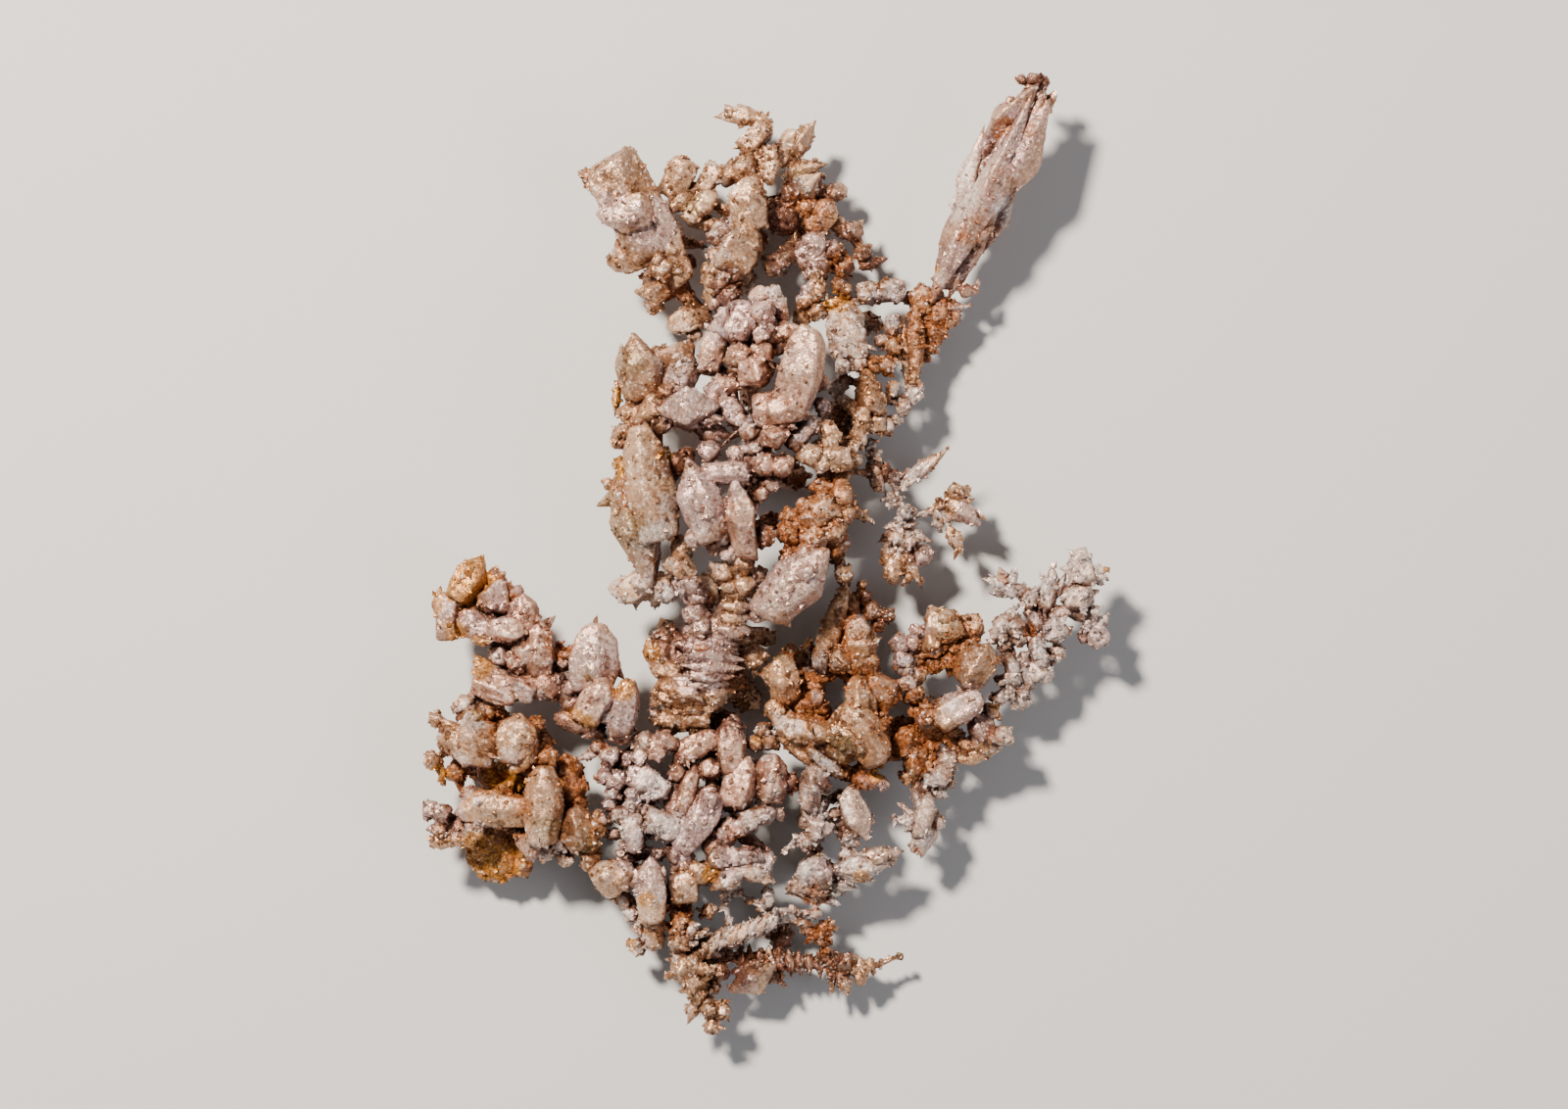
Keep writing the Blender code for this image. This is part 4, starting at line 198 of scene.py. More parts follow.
        ("point", -24.2, 9.6, 22.5, -27.7, 7.9, 22, 2.4), ("stub", -16.6, 12.9, 25, -12.2, 17.4, 24, 3.6),
        ("stub", -16.8, 5.2, 24, -13.7, 11, 24, 2.4), ("back", -18, 14, 19, -18, 15, 7, 6.4),
        ("back", -20, 28, 19, -20, 28, 13, 4.9),
    ], lumps=[
        (-18.2, 24.1, 25.5, 4), (-17, 21.4, 25.5, 3.6), (-23, 19, 25, 4.2), (-25.6, 11.6, 23, 1.9),
        (-24, 14.6, 24.5, 2), (-15.9, 4, 23, 2.8), (-16.4, 26.2, 24.5, 3),
    ]),
    "centre_crystals": dict(look="pink", grit=0.7, spiky=0.3, crystals=[
        ("stub", -7, 36.6, 26, -2.8, 40.8, 27, 5.8), ("stub", 0.2, 34.7, 26, 5.7, 36.3, 26, 3.2),
        ("spear", -9.2, 30.1, 25, -7.5, 38.2, 26, 4), ("lens", -11.2, 32.3, 24, -6.4, 30, 24, 1.8),
        ("stub", -8.8, 25.8, 26, -4.2, 28.2, 26.5, 3), ("stub", -8.2, 25.4, 26, -2.7, 20.8, 26.5, 3.2),
        ("stub", 0.7, 42.8, 24, 3.3, 37.8, 24.5, 2.8), ("blunt", 3.8, 23.6, 28, 7, 37, 32, 6.4),
        ("stub", -0.8, 22.6, 27, 6.3, 25, 29, 6.2), ("stub", 4.4, 18, 26.5, 7.8, 22.5, 26.5, 2.8),
        ("stub", -4.8, 13.8, 29, -5.2, 17.8, 29, 2.4), ("block", -3.4, 13.4, 32, -10.6, 13.2, 32, 3),
        ("taper", -8.4, 2.2, 29.5, -12.4, 15.2, 33.5, 6), ("taper", -3, -0.4, 28.5, -5.2, 12.2, 32.5, 5),
        ("stub", -4, 16.9, 28, -0.2, 17.3, 28, 2.1), ("back", -3, 32, 17, -3, 33, 6.4, 5.9),
        ("back", -2, 14, 20, -2, 13, 7, 7.8),
    ], lumps=[
        (-1, 38.8, 27.5, 4.2), (-4, 37, 28.5, 4.6), (-0.8, 36, 28.5, 3.4), (2, 33.6, 25.5, 2.8),
        (-0.4, 32.4, 28.5, 3.6), (-4.4, 32, 28, 4), (-2, 30.2, 28, 6), (-7.8, 28.4, 24.5, 2.2),
        (-2.6, 20.2, 27, 3.6), (-1, 42, 23.5, 3.4), (9, 24.2, 24.5, 2.8), (8.8, 27.8, 25, 2.6),
        (-9.3, 16.6, 27, 3.6), (2.3, 14.3, 30, 3.6), (-0.5, 14.5, 30, 3.8), (1, 19, 29, 4.4),
        (-1, 10, 28.5, 2.8), (0.8, 11.6, 28, 2.6), (-0.4, 3, 27, 3.6), (-7, 3, 28.5, 3), (-6.2, 0.6, 27.5, 3),
        (-8.4, 1.4, 27, 3), (-11.6, 2.8, 25.5, 3.2),
    ]),
    "right_centre": dict(look="tan", grit=1.2, spiky=0.6, crystals=[
        ("stub", 10.4, 16.8, 26, 9.6, 21.8, 26, 3.4), ("stub", 12.4, 15.6, 27, 4.9, 16.3, 27, 3.9),
        ("stub", 15.5, 22.3, 20, 12.6, 25.8, 19, 2), ("stub", 15.7, 23.2, 20.5, 14.5, 17.4, 22, 2.5),
        ("lens", 6.4, 10.9, 25, 11.4, 11.3, 25, 2.3), ("point", 13.4, 7.5, 21.5, 17.7, 5.3, 20.5, 1.9),
        ("taper", -0.4, -9.8, 26.5, 9.9, 0.9, 30.5, 7.4), ("lens", -1.6, -10.6, 25, 4.5, -5.6, 26.5, 3.2),
        ("stub", 7.6, 1.5, 23, 6, -2.5, 26, 5), ("back", 10, 8, 18, 10, 8, 6.4, 5.9),
        ("back", 5, -3, 24, 5, -4, 15, 4.4),
    ], lumps=[
        (14, 17.4, 23.5, 2.2), (13.9, 15.3, 24, 2.4), (12, 12, 24, 3.4), (12, 9.5, 24.5, 4.2),
        (12.3, 7, 24, 4.4), (9, 7.6, 25.5, 5), (6.8, 6.4, 25, 4.6), (10.4, 4.3, 24.5, 5), (7.8, 3, 25, 4.4),
        (11.5, 1.8, 22, 3.6), (4, 6, 24.5, 3.4), (3.4, 3.4, 24.5, 3.4), (12.6, -3.3, 19.5, 3),
    ]),
    "small_right_sprays": dict(look="tan", grit=1.3, spiky=2.0, crystals=[
        ("stub", 18.4, 10.6, 17.5, 17.3, 15.2, 18, 1.9), ("lens", 21.8, 10.8, 17.5, 29.7, 17.5, 19, 2.6),
        ("lens", 21.4, 11.9, 17, 25.4, 13.7, 17.5, 1.8), ("point", 22.2, 5, 15.5, 18.9, 4.4, 15, 1.5),
        ("point", 21.8, 4.9, 15.5, 25, 5.2, 15.5, 1.6), ("point", 20.9, 3.6, 15.5, 17.8, 1.9, 15, 1.5),
        ("point", 23.6, 3.5, 15.5, 27.2, 2.1, 15.5, 1.7), ("stub", 21.6, 0.8, 15.5, 20.4, -4.8, 16, 2.9),
        ("point", 22.4, 0.2, 15.5, 25.4, -5.5, 15.5, 2.2), ("point", 30.4, 8.6, 15.5, 34.9, 4.7, 16.5, 4),
        ("lens", 29.6, 5, 15.5, 32.1, 0.2, 15.5, 2.3), ("stub", 20.4, 2.2, 15, 19.2, -1.8, 14.5, 1.7),
    ], lumps=[
        (19.4, 14, 17.5, 2), (21, 13, 17.5, 2), (17, 18.2, 18, 1.8), (17.5, 16.3, 18, 2),
        (20.4, 9.2, 16.5, 2), (22.7, 7, 16.5, 2.2), (21.4, 2.9, 16, 2.4), (23.4, 2.3, 16, 2.4),
        (25.5, 0, 15.5, 3.2), (23.2, -3.6, 15.5, 1.8), (28.4, 8.3, 15.5, 1.7), (31, 10.1, 15.5, 3),
        (29.8, 6.4, 15.5, 1.6), (27.8, 5.2, 15, 1.6),
    ]),
    "lower_left_upper_arm": dict(look="pink", grit=0.8, spiky=0.3, crystals=[
        ("taper", -50.8, -7.4, 21, -46.1, 0, 21, 4.4), ("lens", -53.6, -10.4, 18.5, -53.2, -5.2, 18.5, 2.3),
        ("block", -51.6, -13, 19, -51.6, -6.2, 19.5, 4.4), ("stub", -40, -13, 20.5, -39.6, -6.4, 21.5, 5),
        ("stub", -47.2, -11.7, 22, -39.2, -12.2, 22.5, 4.6),
        ("stub", -37.4, -18.2, 20.5, -36.5, -11.1, 22, 5.4), ("lens", -38, -13.5, 18, -34.6, -10, 17, 2),
        ("lens", -37, -16.8, 18, -32.8, -15.2, 17.5, 2.6),
        ("stub", -45.6, -21.4, 20, -39.2, -22.4, 20.6, 4.4),
        ("stub", -40.4, -21.2, 20.4, -33.4, -21.9, 20.6, 4.2), ("point", -44.6, -20.4, 18, -48, -16, 17, 3.6),
        ("blunt", -28.5, -21.6, 21.5, -27.4, -10.8, 24, 6.2),
        ("point", -26.4, -16.4, 20, -23.2, -20.3, 19, 2.4), ("stub", -29, -25.8, 23, -26, -20, 24.5, 5.4),
        ("stub", -29, -27.4, 20, -34.4, -26.1, 20.5, 3.4),
        ("blunt", -23.9, -28.8, 21.5, -22.3, -20.2, 24, 4.8),
        ("lens", -25.6, -30, 20.5, -20.7, -28.7, 20, 2.4), ("back", -44, -12, 14, -44, -12, 6.4, 5.9),
        ("back", -34, -21, 15, -34, -21, 7, 4.9),
    ], lumps=[
        (-44.3, -4, 19, 3.4), (-44.5, -7.2, 20, 5.4), (-41.4, -6.6, 18.5, 3.4), (-48, -11, 21, 4.4),
        (-46.5, -13.6, 18.5, 2.8), (-43.4, -16.4, 19.5, 3.4), (-40.6, -17.4, 21, 3.4), (-39, -15.8, 21, 4.6),
        (-33, -17.3, 19.5, 3.4), (-33.7, -20.4, 20.5, 2.2), (-31.8, -21.5, 20.5, 2.8), (-31.4, -24, 20, 3.2),
        (-31.7, -15.6, 18, 2), (-30.3, -19.3, 20.5, 3), (-29, -28.6, 19, 3), (-25.6, -26, 22.5, 2.4),
        (-27.4, -29, 18.5, 2.4),
    ]),
    "lower_left_cluster": dict(look="rust", grit=1.0, spiky=0.4, crystals=[
        ("stub", -46.2, -31, 20.5, -53.8, -29.6, 19.5, 6.8),
        ("lens", -53.2, -33, 17.5, -53.1, -37.9, 16.5, 1.3),
        ("point", -50.8, -34.6, 15.5, -50.1, -39.2, 14.5, 2.2),
        ("stub", -47, -31.1, 21, -41.8, -31.4, 20, 3.6), ("stub", -40.1, -33.2, 21.5, -40, -25.8, 23, 6.2),
        ("blunt", -36.5, -46.2, 21, -36, -33.8, 24, 5.6), ("stub", -38, -33.5, 20, -33.8, -32.5, 20, 2.9),
        ("stub", -32, -41.2, 15.5, -33, -32.5, 16.5, 4.2), ("point", -38, -29.6, 16, -34.8, -32.2, 16, 3.2),
        ("stub", -40.8, -41.8, 21, -50.6, -41.9, 19.5, 6),
        ("stub", -48.6, -45.9, 18, -55.1, -46.8, 17.5, 2.9),
        ("stub", -43.6, -44.6, 13, -47.8, -50.4, 11.5, 5), ("stub", -41.4, -45.6, 13, -43.4, -53.2, 11, 5.6),
        ("stub", -39.8, -46.4, 12.5, -40.4, -51.4, 11.5, 4.4),
        ("lens", -49.6, -47, 12.5, -46.3, -53.6, 11, 1.9), ("blunt", -29.6, -47.6, 19, -31.8, -41, 20, 5.4),
        ("point", -28.4, -43.2, 18.5, -25.1, -43.8, 18, 2.4), ("back", -43.5, -41, 12, -43.3, -41, 6.4, 7.3),
        ("back", -38, -31, 13, -38, -31, 6.4, 4.9),
    ], lumps=[
        (-49.4, -24.5, 18, 3.4), (-47.5, -23.7, 16.5, 2.8), (-47.8, -26.7, 18.5, 4.4),
        (-45.6, -25.8, 17.5, 3.4), (-44, -27.4, 15.5, 3.8), (-53.9, -27, 18, 2.6), (-54.5, -33.6, 18, 2.8),
        (-51, -35.4, 15.5, 3.4), (-37.6, -27.6, 19, 2.6), (-41, -33.4, 20, 2.8), (-39.2, -33.9, 20, 3.4),
        (-45.2, -36.2, 14, 4.4), (-42, -36, 14.5, 4.4), (-42.7, -38, 15, 3.4), (-30.7, -37.9, 15, 3.2),
        (-31, -40.6, 16, 3.2), (-48.3, -39.1, 19.5, 3), (-55, -41.4, 18, 2.8), (-53, -42.2, 18.5, 3),
        (-55.5, -42.6, 17.5, 1.8), (-53.4, -44.8, 18, 3), (-47.4, -44.6, 20, 3.2), (-47, -48, 13, 3.2),
        (-40.3, -51, 12, 3.8), (-38.7, -46.9, 18.5, 4), (-36, -48.2, 17.5, 3.4), (-28.2, -44.2, 19, 4.2),
        (-29, -47, 18.5, 3.8), (-34, -46.8, 18.5, 3), (-33, -49.4, 16.5, 3),
    ]),
    "inner_left_chain": dict(look="grey", grit=1.1, spiky=1.0, crystals=[
        ("lens", -27, -32.2, 18.5, -31.4, -33.4, 18, 1.6),
        ("stub", -21.2, -36.9, 21, -15.7, -37.7, 21.5, 4.5),
        ("stub", -21.9, -46.9, 20, -20.9, -42.2, 21, 3.9),
        ("stub", -18.2, -43.2, 20.5, -13.6, -44.9, 20.5, 4.1),
        ("stub", -23.5, -49, 17.5, -16.4, -48.5, 17.5, 2.4), ("lens", -22.5, -45.2, 18, -27.1, -45.9, 18, 2),
        ("stub", -21.2, -33.3, 20.5, -19.3, -28.5, 20.5, 3), ("back", -23, -42, 13, -23, -42, 6.4, 4.9),
    ], lumps=[
        (-25.5, -32.7, 19.5, 3.4), (-27.5, -31.4, 18.5, 2.6), (-22.4, -33.3, 19, 3), (-26.3, -36, 19.5, 3),
        (-24.2, -36.4, 20.5, 3), (-25, -38.7, 19.5, 2.8), (-25.5, -40.7, 18.5, 2.4),
        (-21.9, -38.9, 20.5, 2.4), (-23.8, -42.4, 19.5, 3.4), (-21.8, -40.9, 19.5, 3),
        (-19.9, -41.6, 18.5, 3), (-18.4, -44.3, 18.5, 2), (-22.7, -47.1, 18.5, 2.6),
    ]),
    "lower_centre": dict(look="pink", grit=1.0, spiky=0.6, crystals=[
        ("stub", -18.8, -31.1, 20.5, -14.2, -30.9, 21, 3.3),
        ("spear", -14.2, -32.5, 20, -7.5, -29.3, 20.5, 3.5),
        ("spear", -5.7, -34.6, 20, -6.3, -26.6, 20.5, 4.3),
        ("stub", -15.1, -41.4, 19.5, -15.1, -37.6, 19.5, 3.2),
        ("spear", -13.9, -41.6, 20.5, -11.6, -34.4, 20.5, 2.8),
        ("spear", -5.5, -40.8, 19.5, -2.7, -33, 20.5, 4.6),
        ("blunt", -14.2, -47.6, 19.5, -7.6, -38.8, 20.5, 5.4), ("stub", -9, -48.2, 18.5, -5, -43, 19.5, 3.2),
        ("stub", -5.8, -44.7, 20, 1.4, -41.4, 19.5, 3.1), ("lens", -5.4, -45.8, 16, 0.4, -48.3, 15, 2),
        ("stub", -14.2, -50, 18.5, -13.8, -46.2, 18.5, 4.2),
        ("stub", 0.2, -39.3, 19.5, 1.4, -32.6, 20.5, 4.7), ("lens", -1.8, -40.4, 18.5, 5, -35.2, 18.5, 1.9),
        ("stub", -6.6, -26.4, 15.5, -3.6, -28.8, 15, 2.6), ("back", -11, -41, 13, -11, -41.4, 6.4, 6.9),
        ("back", -2, -36, 13, -2, -36, 6.4, 4.9),
    ], lumps=[
        (-9.3, -34.7, 19.5, 4), (-14.5, -35.6, 19.5, 3), (-14, -33.2, 19, 3), (2, -42.3, 18, 2.2),
        (-8.2, -27.4, 15.5, 2.8), (-8.7, -37.8, 18, 2.4), (3.8, -37.2, 18, 3), (-11.4, -40, 19.5, 3),
    ]),
    "mid_right_column": dict(look="rust", grit=1.1, spiky=0.6, crystals=[
        ("spear", 8.9, -17.1, 19, 12.9, -4.6, 21.5, 3.4), ("stub", 12.5, -15, 17.5, 13.5, -6, 18.5, 3),
        ("stub", 14.6, -18.5, 20, 14.3, -9.6, 21, 4.8), ("point", 14.8, -16, 20, 17.4, -12.2, 21, 3.4),
        ("stub", 9.1, -20.4, 17.5, 7.9, -15.7, 18.5, 2.4), ("stub", 15.7, -25.3, 19, 15, -19.3, 20.5, 4.6),
        ("stub", 17, -22, 18.5, 22.1, -22.9, 18, 4.9), ("stub", 15.8, -26.3, 18.5, 20.2, -26.9, 18, 3.6),
        ("stub", 2.3, -22.4, 19.5, 3.2, -16.4, 20.5, 5), ("stub", 1.6, -25.2, 18.5, 2, -21.2, 18.5, 3),
        ("stub", 8.6, -25, 19, 8.1, -21.5, 19.5, 2.6), ("stub", 0.8, -24.8, 20.5, 5.6, -30.4, 21.5, 2.7),
        ("spear", 2.6, -27.6, 20.5, 11.2, -29.4, 21.5, 4.4),
        ("spear", 17.8, -32.6, 19.5, 12.6, -24.2, 21.8, 6.4),
        ("spear", 11.4, -32.8, 19, 13.4, -24.6, 21.2, 5.2),
        ("point", 12.6, -27.5, 21.5, 12.8, -23.5, 21, 3.8), ("spear", 3, -28.8, 19.5, 12, -36.3, 18.5, 4),
        ("stub", 7, -31.8, 21.5, 12.3, -35.9, 20.5, 1.9), ("stub", 17.2, -28, 15, 20.6, -31, 14, 3.2),
        ("back", 13, -15, 13, 13, -15, 6.4, 5.9), ("back", 10, -29, 13, 10, -29.4, 6.4, 7.3),
    ], lumps=[
        (12, -17, 20.5, 4.2), (16.4, -16.6, 17.5, 3), (16.9, -18.4, 17.5, 2.2), (16, -6.8, 17, 2.2),
        (17.3, -9.2, 17, 3), (19.6, -10, 16.5, 2.6), (18.3, -11.2, 16.5, 2.4), (15.6, -5, 17, 1.8),
        (0.6, -19.4, 19.5, 3), (3.8, -15.8, 15.5, 2.4), (6.3, -24.6, 17, 5), (9, -26, 17, 3.6),
        (7.5, -21.4, 16.5, 4), (-0.5, -28.5, 17.5, 2.6), (0.8, -30.4, 17.5, 2.8), (-1.8, -31, 17.5, 2.4),
        (12.8, -35.7, 15.5, 2.6), (16, -35.2, 15.5, 3), (18.5, -33, 16, 3.4),
    ]),
    "right_arm": dict(look="rust", grit=1.2, spiky=0.8, hollows=0.9, crystals=[
        ("lens", 27.4, -25.2, 17, 32.7, -22.5, 18, 2.1), ("blunt", 28, -27.3, 19.5, 35.2, -22.7, 21, 4.8),
        ("stub", 27, -11.3, 18.5, 32, -12.2, 19, 4.6), ("stub", 32, -12.8, 16, 34.8, -10, 15.5, 4.6),
        ("lens", 24.8, -16.4, 17, 30, -14.9, 17.5, 1.5), ("stub", 30.2, -15.3, 17.5, 34.5, -15, 17.5, 2.3),
        ("spear", 33, -21.1, 19.5, 36, -14.4, 21, 4.8), ("stub", 35.9, -30.8, 16.5, 34.1, -26, 17.5, 3.9),
        ("point", 31.8, -30.6, 15.5, 31.9, -28.3, 15.5, 1.5), ("lens", 30.2, -33.6, 16, 37.9, -32.1, 16, 2.7),
        ("stub", 24, -35.5, 14.5, 24, -28, 15.5, 4.4), ("stub", 22.8, -36.8, 14.5, 26, -35, 14.5, 2.6),
        ("point", 30.1, -17.8, 15.5, 29.8, -20.4, 15, 1.7), ("back", 27.5, -26, 12, 27.7, -26, 6.4, 6.9),
        ("back", 31, -13, 13, 31, -13, 8, 3.9),
    ], lumps=[
        (24, -22.5, 17, 3), (26, -26.4, 17.5, 4.4), (30.2, -28.7, 16, 2.2), (21.5, -14.2, 17.5, 3.2),
        (23.8, -14.2, 17.5, 3), (22.2, -16.9, 17.5, 3.4), (23, -18.8, 17, 2.6), (22.9, -21, 17.5, 2.8),
        (24.8, -19.6, 16.5, 2.6), (24.5, -12.3, 17.5, 2.4), (29.2, -10.6, 18.5, 4), (27, -14, 17.5, 3.4),
        (29.9, -17.1, 16, 3), (27.3, -17.8, 15, 3.2), (33.4, -21.9, 18, 2.4), (38.3, -29.5, 17.5, 3.4),
        (36.6, -25.8, 16.5, 2.8), (33, -31.2, 16, 3), (27, -31.2, 14.5, 2.6), (26.6, -33.8, 14.5, 2.8),
    ]),
    "right_spray": dict(look="grey", grit=1.2, spiky=2.2, crystals=[
        ("point", 39, -4.8, 17, 35.2, -3.9, 17, 2), ("point", 38.8, -4.8, 17, 38, -1.9, 17.5, 1.9),
        ("point", 39.6, -4.8, 17, 41, -1.8, 17.5, 1.5), ("stub", 37.6, -5.3, 17, 42.5, -6.5, 17, 2.3),
        ("stub", 46, -8, 17.5, 46.3, -3.5, 18.5, 2.9), ("point", 46.5, -4.3, 18, 46.7, -1.7, 18, 1.6),
        ("lens", 47, -7.2, 17, 48.8, -2.9, 17.5, 1.7), ("stub", 51.1, -3.8, 18.5, 51.6, 1.2, 19, 3.1),
        ("point", 51.4, -1, 18.5, 49, 1, 18.5, 1.7), ("point", 52.2, -3.2, 18.5, 56.4, -2.1, 18, 2),
        ("point", 51.2, -2.8, 18.5, 47.7, -2.1, 18, 1.8), ("point", 53.2, -3.6, 18, 55, -4.8, 17.5, 1.5),
        ("stub", 46.8, -10.2, 17, 49.8, -8.7, 18, 2.2), ("stub", 49.4, -9, 17, 52.2, -9.9, 17, 1.7),
        ("lens", 51.6, -10.6, 17, 54.9, -8.3, 17.5, 2), ("point", 53.6, -11.6, 16.5, 56.4, -9.3, 16.5, 1.9),
        ("block", 53.2, -12, 17, 55.2, -14.7, 17, 2.9), ("stub", 42.8, -9.8, 16.5, 45, -12.2, 17, 2.2),
        ("stub", 44.7, -17.8, 17.5, 43.8, -13.2, 18, 2.4), ("stub", 40.4, -20.6, 17.5, 39.6, -16, 18, 2.8),
        ("stub", 43, -21.2, 17, 41.7, -15.8, 17.5, 1.9), ("stub", 43.4, -18.4, 17, 46.4, -20.8, 16.5, 3.1),
        ("point", 44.8, -18.4, 16, 47.4, -17.3, 15.5, 1.6), ("stub", 40, -22.8, 16, 43, -24.7, 15.5, 1.9),
        ("point", 40.4, -23.6, 15.5, 42.1, -25.6, 15, 1.6),
    ], lumps=[
        (43.1, -7.2, 17, 3), (52.2, -3.6, 19, 3.2), (50.7, -6.8, 18, 4.8), (53, -11.3, 17, 2.8),
        (51.6, -13.7, 16, 1.8), (40, -9.9, 17.5, 2.4), (38.5, -11.6, 17.5, 3), (38, -13.1, 17, 3),
        (40.6, -12, 18, 3), (41.3, -13.6, 17.5, 2.4), (39.2, -14.6, 16.5, 2.6), (47, -12.4, 18, 3.9),
        (47.4, -15.6, 16.5, 2.4), (41.7, -22.2, 16.5, 2.4), (39.8, -21.9, 16.5, 2.6), (38.2, -23.2, 16, 2.4),
        (38.4, -20.5, 15.5, 1.8),
    ]),
    "lower_right_spear": dict(look="grey", grit=1.3, spiky=1.8, crystals=[
        ("lens", 26.6, -38.4, 15.5, 29.6, -39.7, 15, 1.7), ("stub", 25, -41.3, 14.5, 24.7, -37.4, 14.5, 2),
        ("spear", 25, -45.5, 17.5, 26.5, -39, 18, 3.2), ("stub", 26.6, -42, 16, 27.8, -45.2, 15.5, 2.5),
        ("point", 26.4, -44.7, 16.5, 19.7, -42.8, 16, 2.5), ("point", 25, -43.4, 15.5, 21.5, -40.7, 15, 1.5),
        ("point", 25.9, -44.4, 16, 25.3, -49.7, 16, 3.8), ("point", 25.6, -46, 15.5, 23.1, -47.9, 15.5, 1.9),
    ], lumps=[
        (29.6, -33.6, 16.5, 3.4), (28.5, -36, 16.5, 3.6), (30, -37.4, 15.5, 1.6), (26.8, -37.2, 16.5, 2),
    ]),
    "bottom_left_arm": dict(look="tan", grit=1.2, spiky=1.0, crystals=[
        ("spear", -18.5, -58.8, 19, -19, -49.2, 20.5, 4.8),
        ("stub", -18.2, -63.2, 16, -18.6, -55.6, 18.5, 3.9), ("stub", -26.8, -53, 19, -22, -50.5, 20, 5),
        ("stub", -29, -49.2, 18, -29.6, -51.6, 17.5, 3.4), ("point", -20, -64.4, 14, -23.1, -63.3, 13.5, 2.4),
        ("stub", -27.2, -54.4, 16, -25, -55.4, 16, 2), ("back", -19, -56, 13, -19, -56, 6.4, 4.9),
    ], lumps=[
        (-23.6, -56.4, 16, 2.8), (-22, -58.6, 15.5, 2.6), (-20.6, -60.6, 15.5, 2.6), (-21, -52.8, 19, 4),
    ]),
    "bottom_mass": dict(look="tan", grit=1.3, spiky=1.8, crystals=[
        ("stub", -13.8, -55.4, 18, -13.8, -49.6, 19, 4.4), ("stub", -11.6, -52.6, 18.5, -6.8, -50.4, 19.5, 4),
        ("stub", -8.4, -49.2, 20, -0.4, -49.4, 20, 2.8), ("lens", -9, -54.4, 20, -3, -51, 21, 3.1),
        ("lens", -5, -51, 21, 1.2, -53.2, 19.5, 2.9), ("block", -0.2, -52.4, 19, 0.3, -48.4, 19, 2),
        ("block", 0, -57.4, 16.5, 0.2, -54.3, 17, 1.7), ("lens", -12.5, -62.8, 18, -12, -59.6, 19, 1.7),
        ("lens", -12.4, -62.8, 17.5, -9.4, -60.8, 18, 1.6), ("lens", -11.2, -72.6, 15, -13, -76.9, 14, 2),
        ("lens", -5.8, -71.4, 13, 1.4, -67.2, 14.5, 4.8), ("stub", 12, -68.8, 12, 13.4, -72, 12, 2),
        ("point", 10.6, -68.6, 12, 10.8, -72, 12, 1.7), ("stub", 15.2, -68, 12, 15.5, -70.8, 12, 1.8),
        ("stub", -9.6, -68, 14, -6, -68.4, 13.5, 2.8), ("back", -12, -66, 11, -12, -66, 6.4, 6.4),
        ("back", 2, -63, 11, 2, -63, 6.4, 3.9),
    ], lumps=[
        (-14, -60.3, 16.5, 3.6), (-14.3, -63.2, 16.5, 4), (-9.6, -58.3, 16, 2.4), (-13, -67.3, 16.5, 5),
        (-12, -70, 16, 4), (-11.4, -72.2, 15.5, 3), (-9.6, -74.1, 15, 3), (-7.3, -74.4, 15, 2.8),
        (-9, -77.2, 14, 2.8), (-8.5, -70.7, 14, 2), (1.3, -69.3, 11.5, 2.2), (9.4, -61.6, 13, 2.8),
        (12.6, -67, 12.5, 3.2), (7.9, -58.8, 15, 1.7),
    ], braids=[
        ((-11, -64.6, 16.5), (2.5, -59.2, 15.5), 4.6, 1.6, 1.7, 40),
        ((-5, -66.4, 12.5), (10.5, -67.6, 12), 4.4, 1.4, 1.6, -80),
        ((5.4, -60, 14), (10.6, -65, 12.5), 3.6, 1.4, 1.5, 35),
        ((11.5, -67.6, 12.5), (18.6, -67.6, 12), 3.2, 1.4, 1.6, -75),
    ]),
    "bottom_right_twigs": dict(look="grey", grit=1.3, spiky=1.8, crystals=[
        ("stub", 7.3, -39.5, 19.5, 7.2, -34.1, 20.5, 3.9), ("lens", 9.4, -43, 16.5, 13.4, -41.6, 16.5, 1.9),
        ("lens", 5.4, -46.8, 16, 7.5, -49.1, 16, 1.5), ("taper", 12.8, -38.4, 17.5, 16.7, -46.6, 17.5, 4.4),
        ("point", 15, -42.6, 17, 17.9, -43.8, 17, 2.2), ("stub", 14.9, -36.8, 16.5, 20.1, -37.8, 16.5, 2.4),
        ("lens", 10.6, -51.6, 17, 20.6, -50.2, 17.5, 4.2), ("lens", 14.2, -49.8, 17.5, 22.1, -48.4, 17, 3),
        ("lens", 10.8, -52, 16.5, 18, -53.2, 17, 2), ("stub", 6.3, -54.2, 17, 6.2, -49.9, 18, 3.4),
        ("stub", 8.7, -53.7, 17, 8.7, -48.8, 18, 3.6), ("lens", 4.6, -55.5, 15.5, 10.8, -57, 15, 1.9),
        ("lens", 9.8, -53.8, 15.5, 15, -54.7, 15, 1.9), ("lens", 9, -55.4, 15, 13.4, -55.1, 14.5, 1.7),
        ("lens", 8.8, -55.8, 14.5, 12.2, -57.5, 14.5, 1.6), ("back", 8, -44, 13, 8, -44, 6.4, 4.4),
        ("back", 8, -52, 12, 8, -52, 6.4, 4.9),
    ], lumps=[
        (8, -41.8, 17.5, 3.4), (8.4, -44.5, 17.5, 4), (6.9, -46.8, 16.5, 2.6), (13.5, -46.3, 16.5, 2.8),
        (13, -49, 16, 2.4), (5, -54.4, 15.5, 2.8), (8.2, -55, 16, 3),
    ]),
}

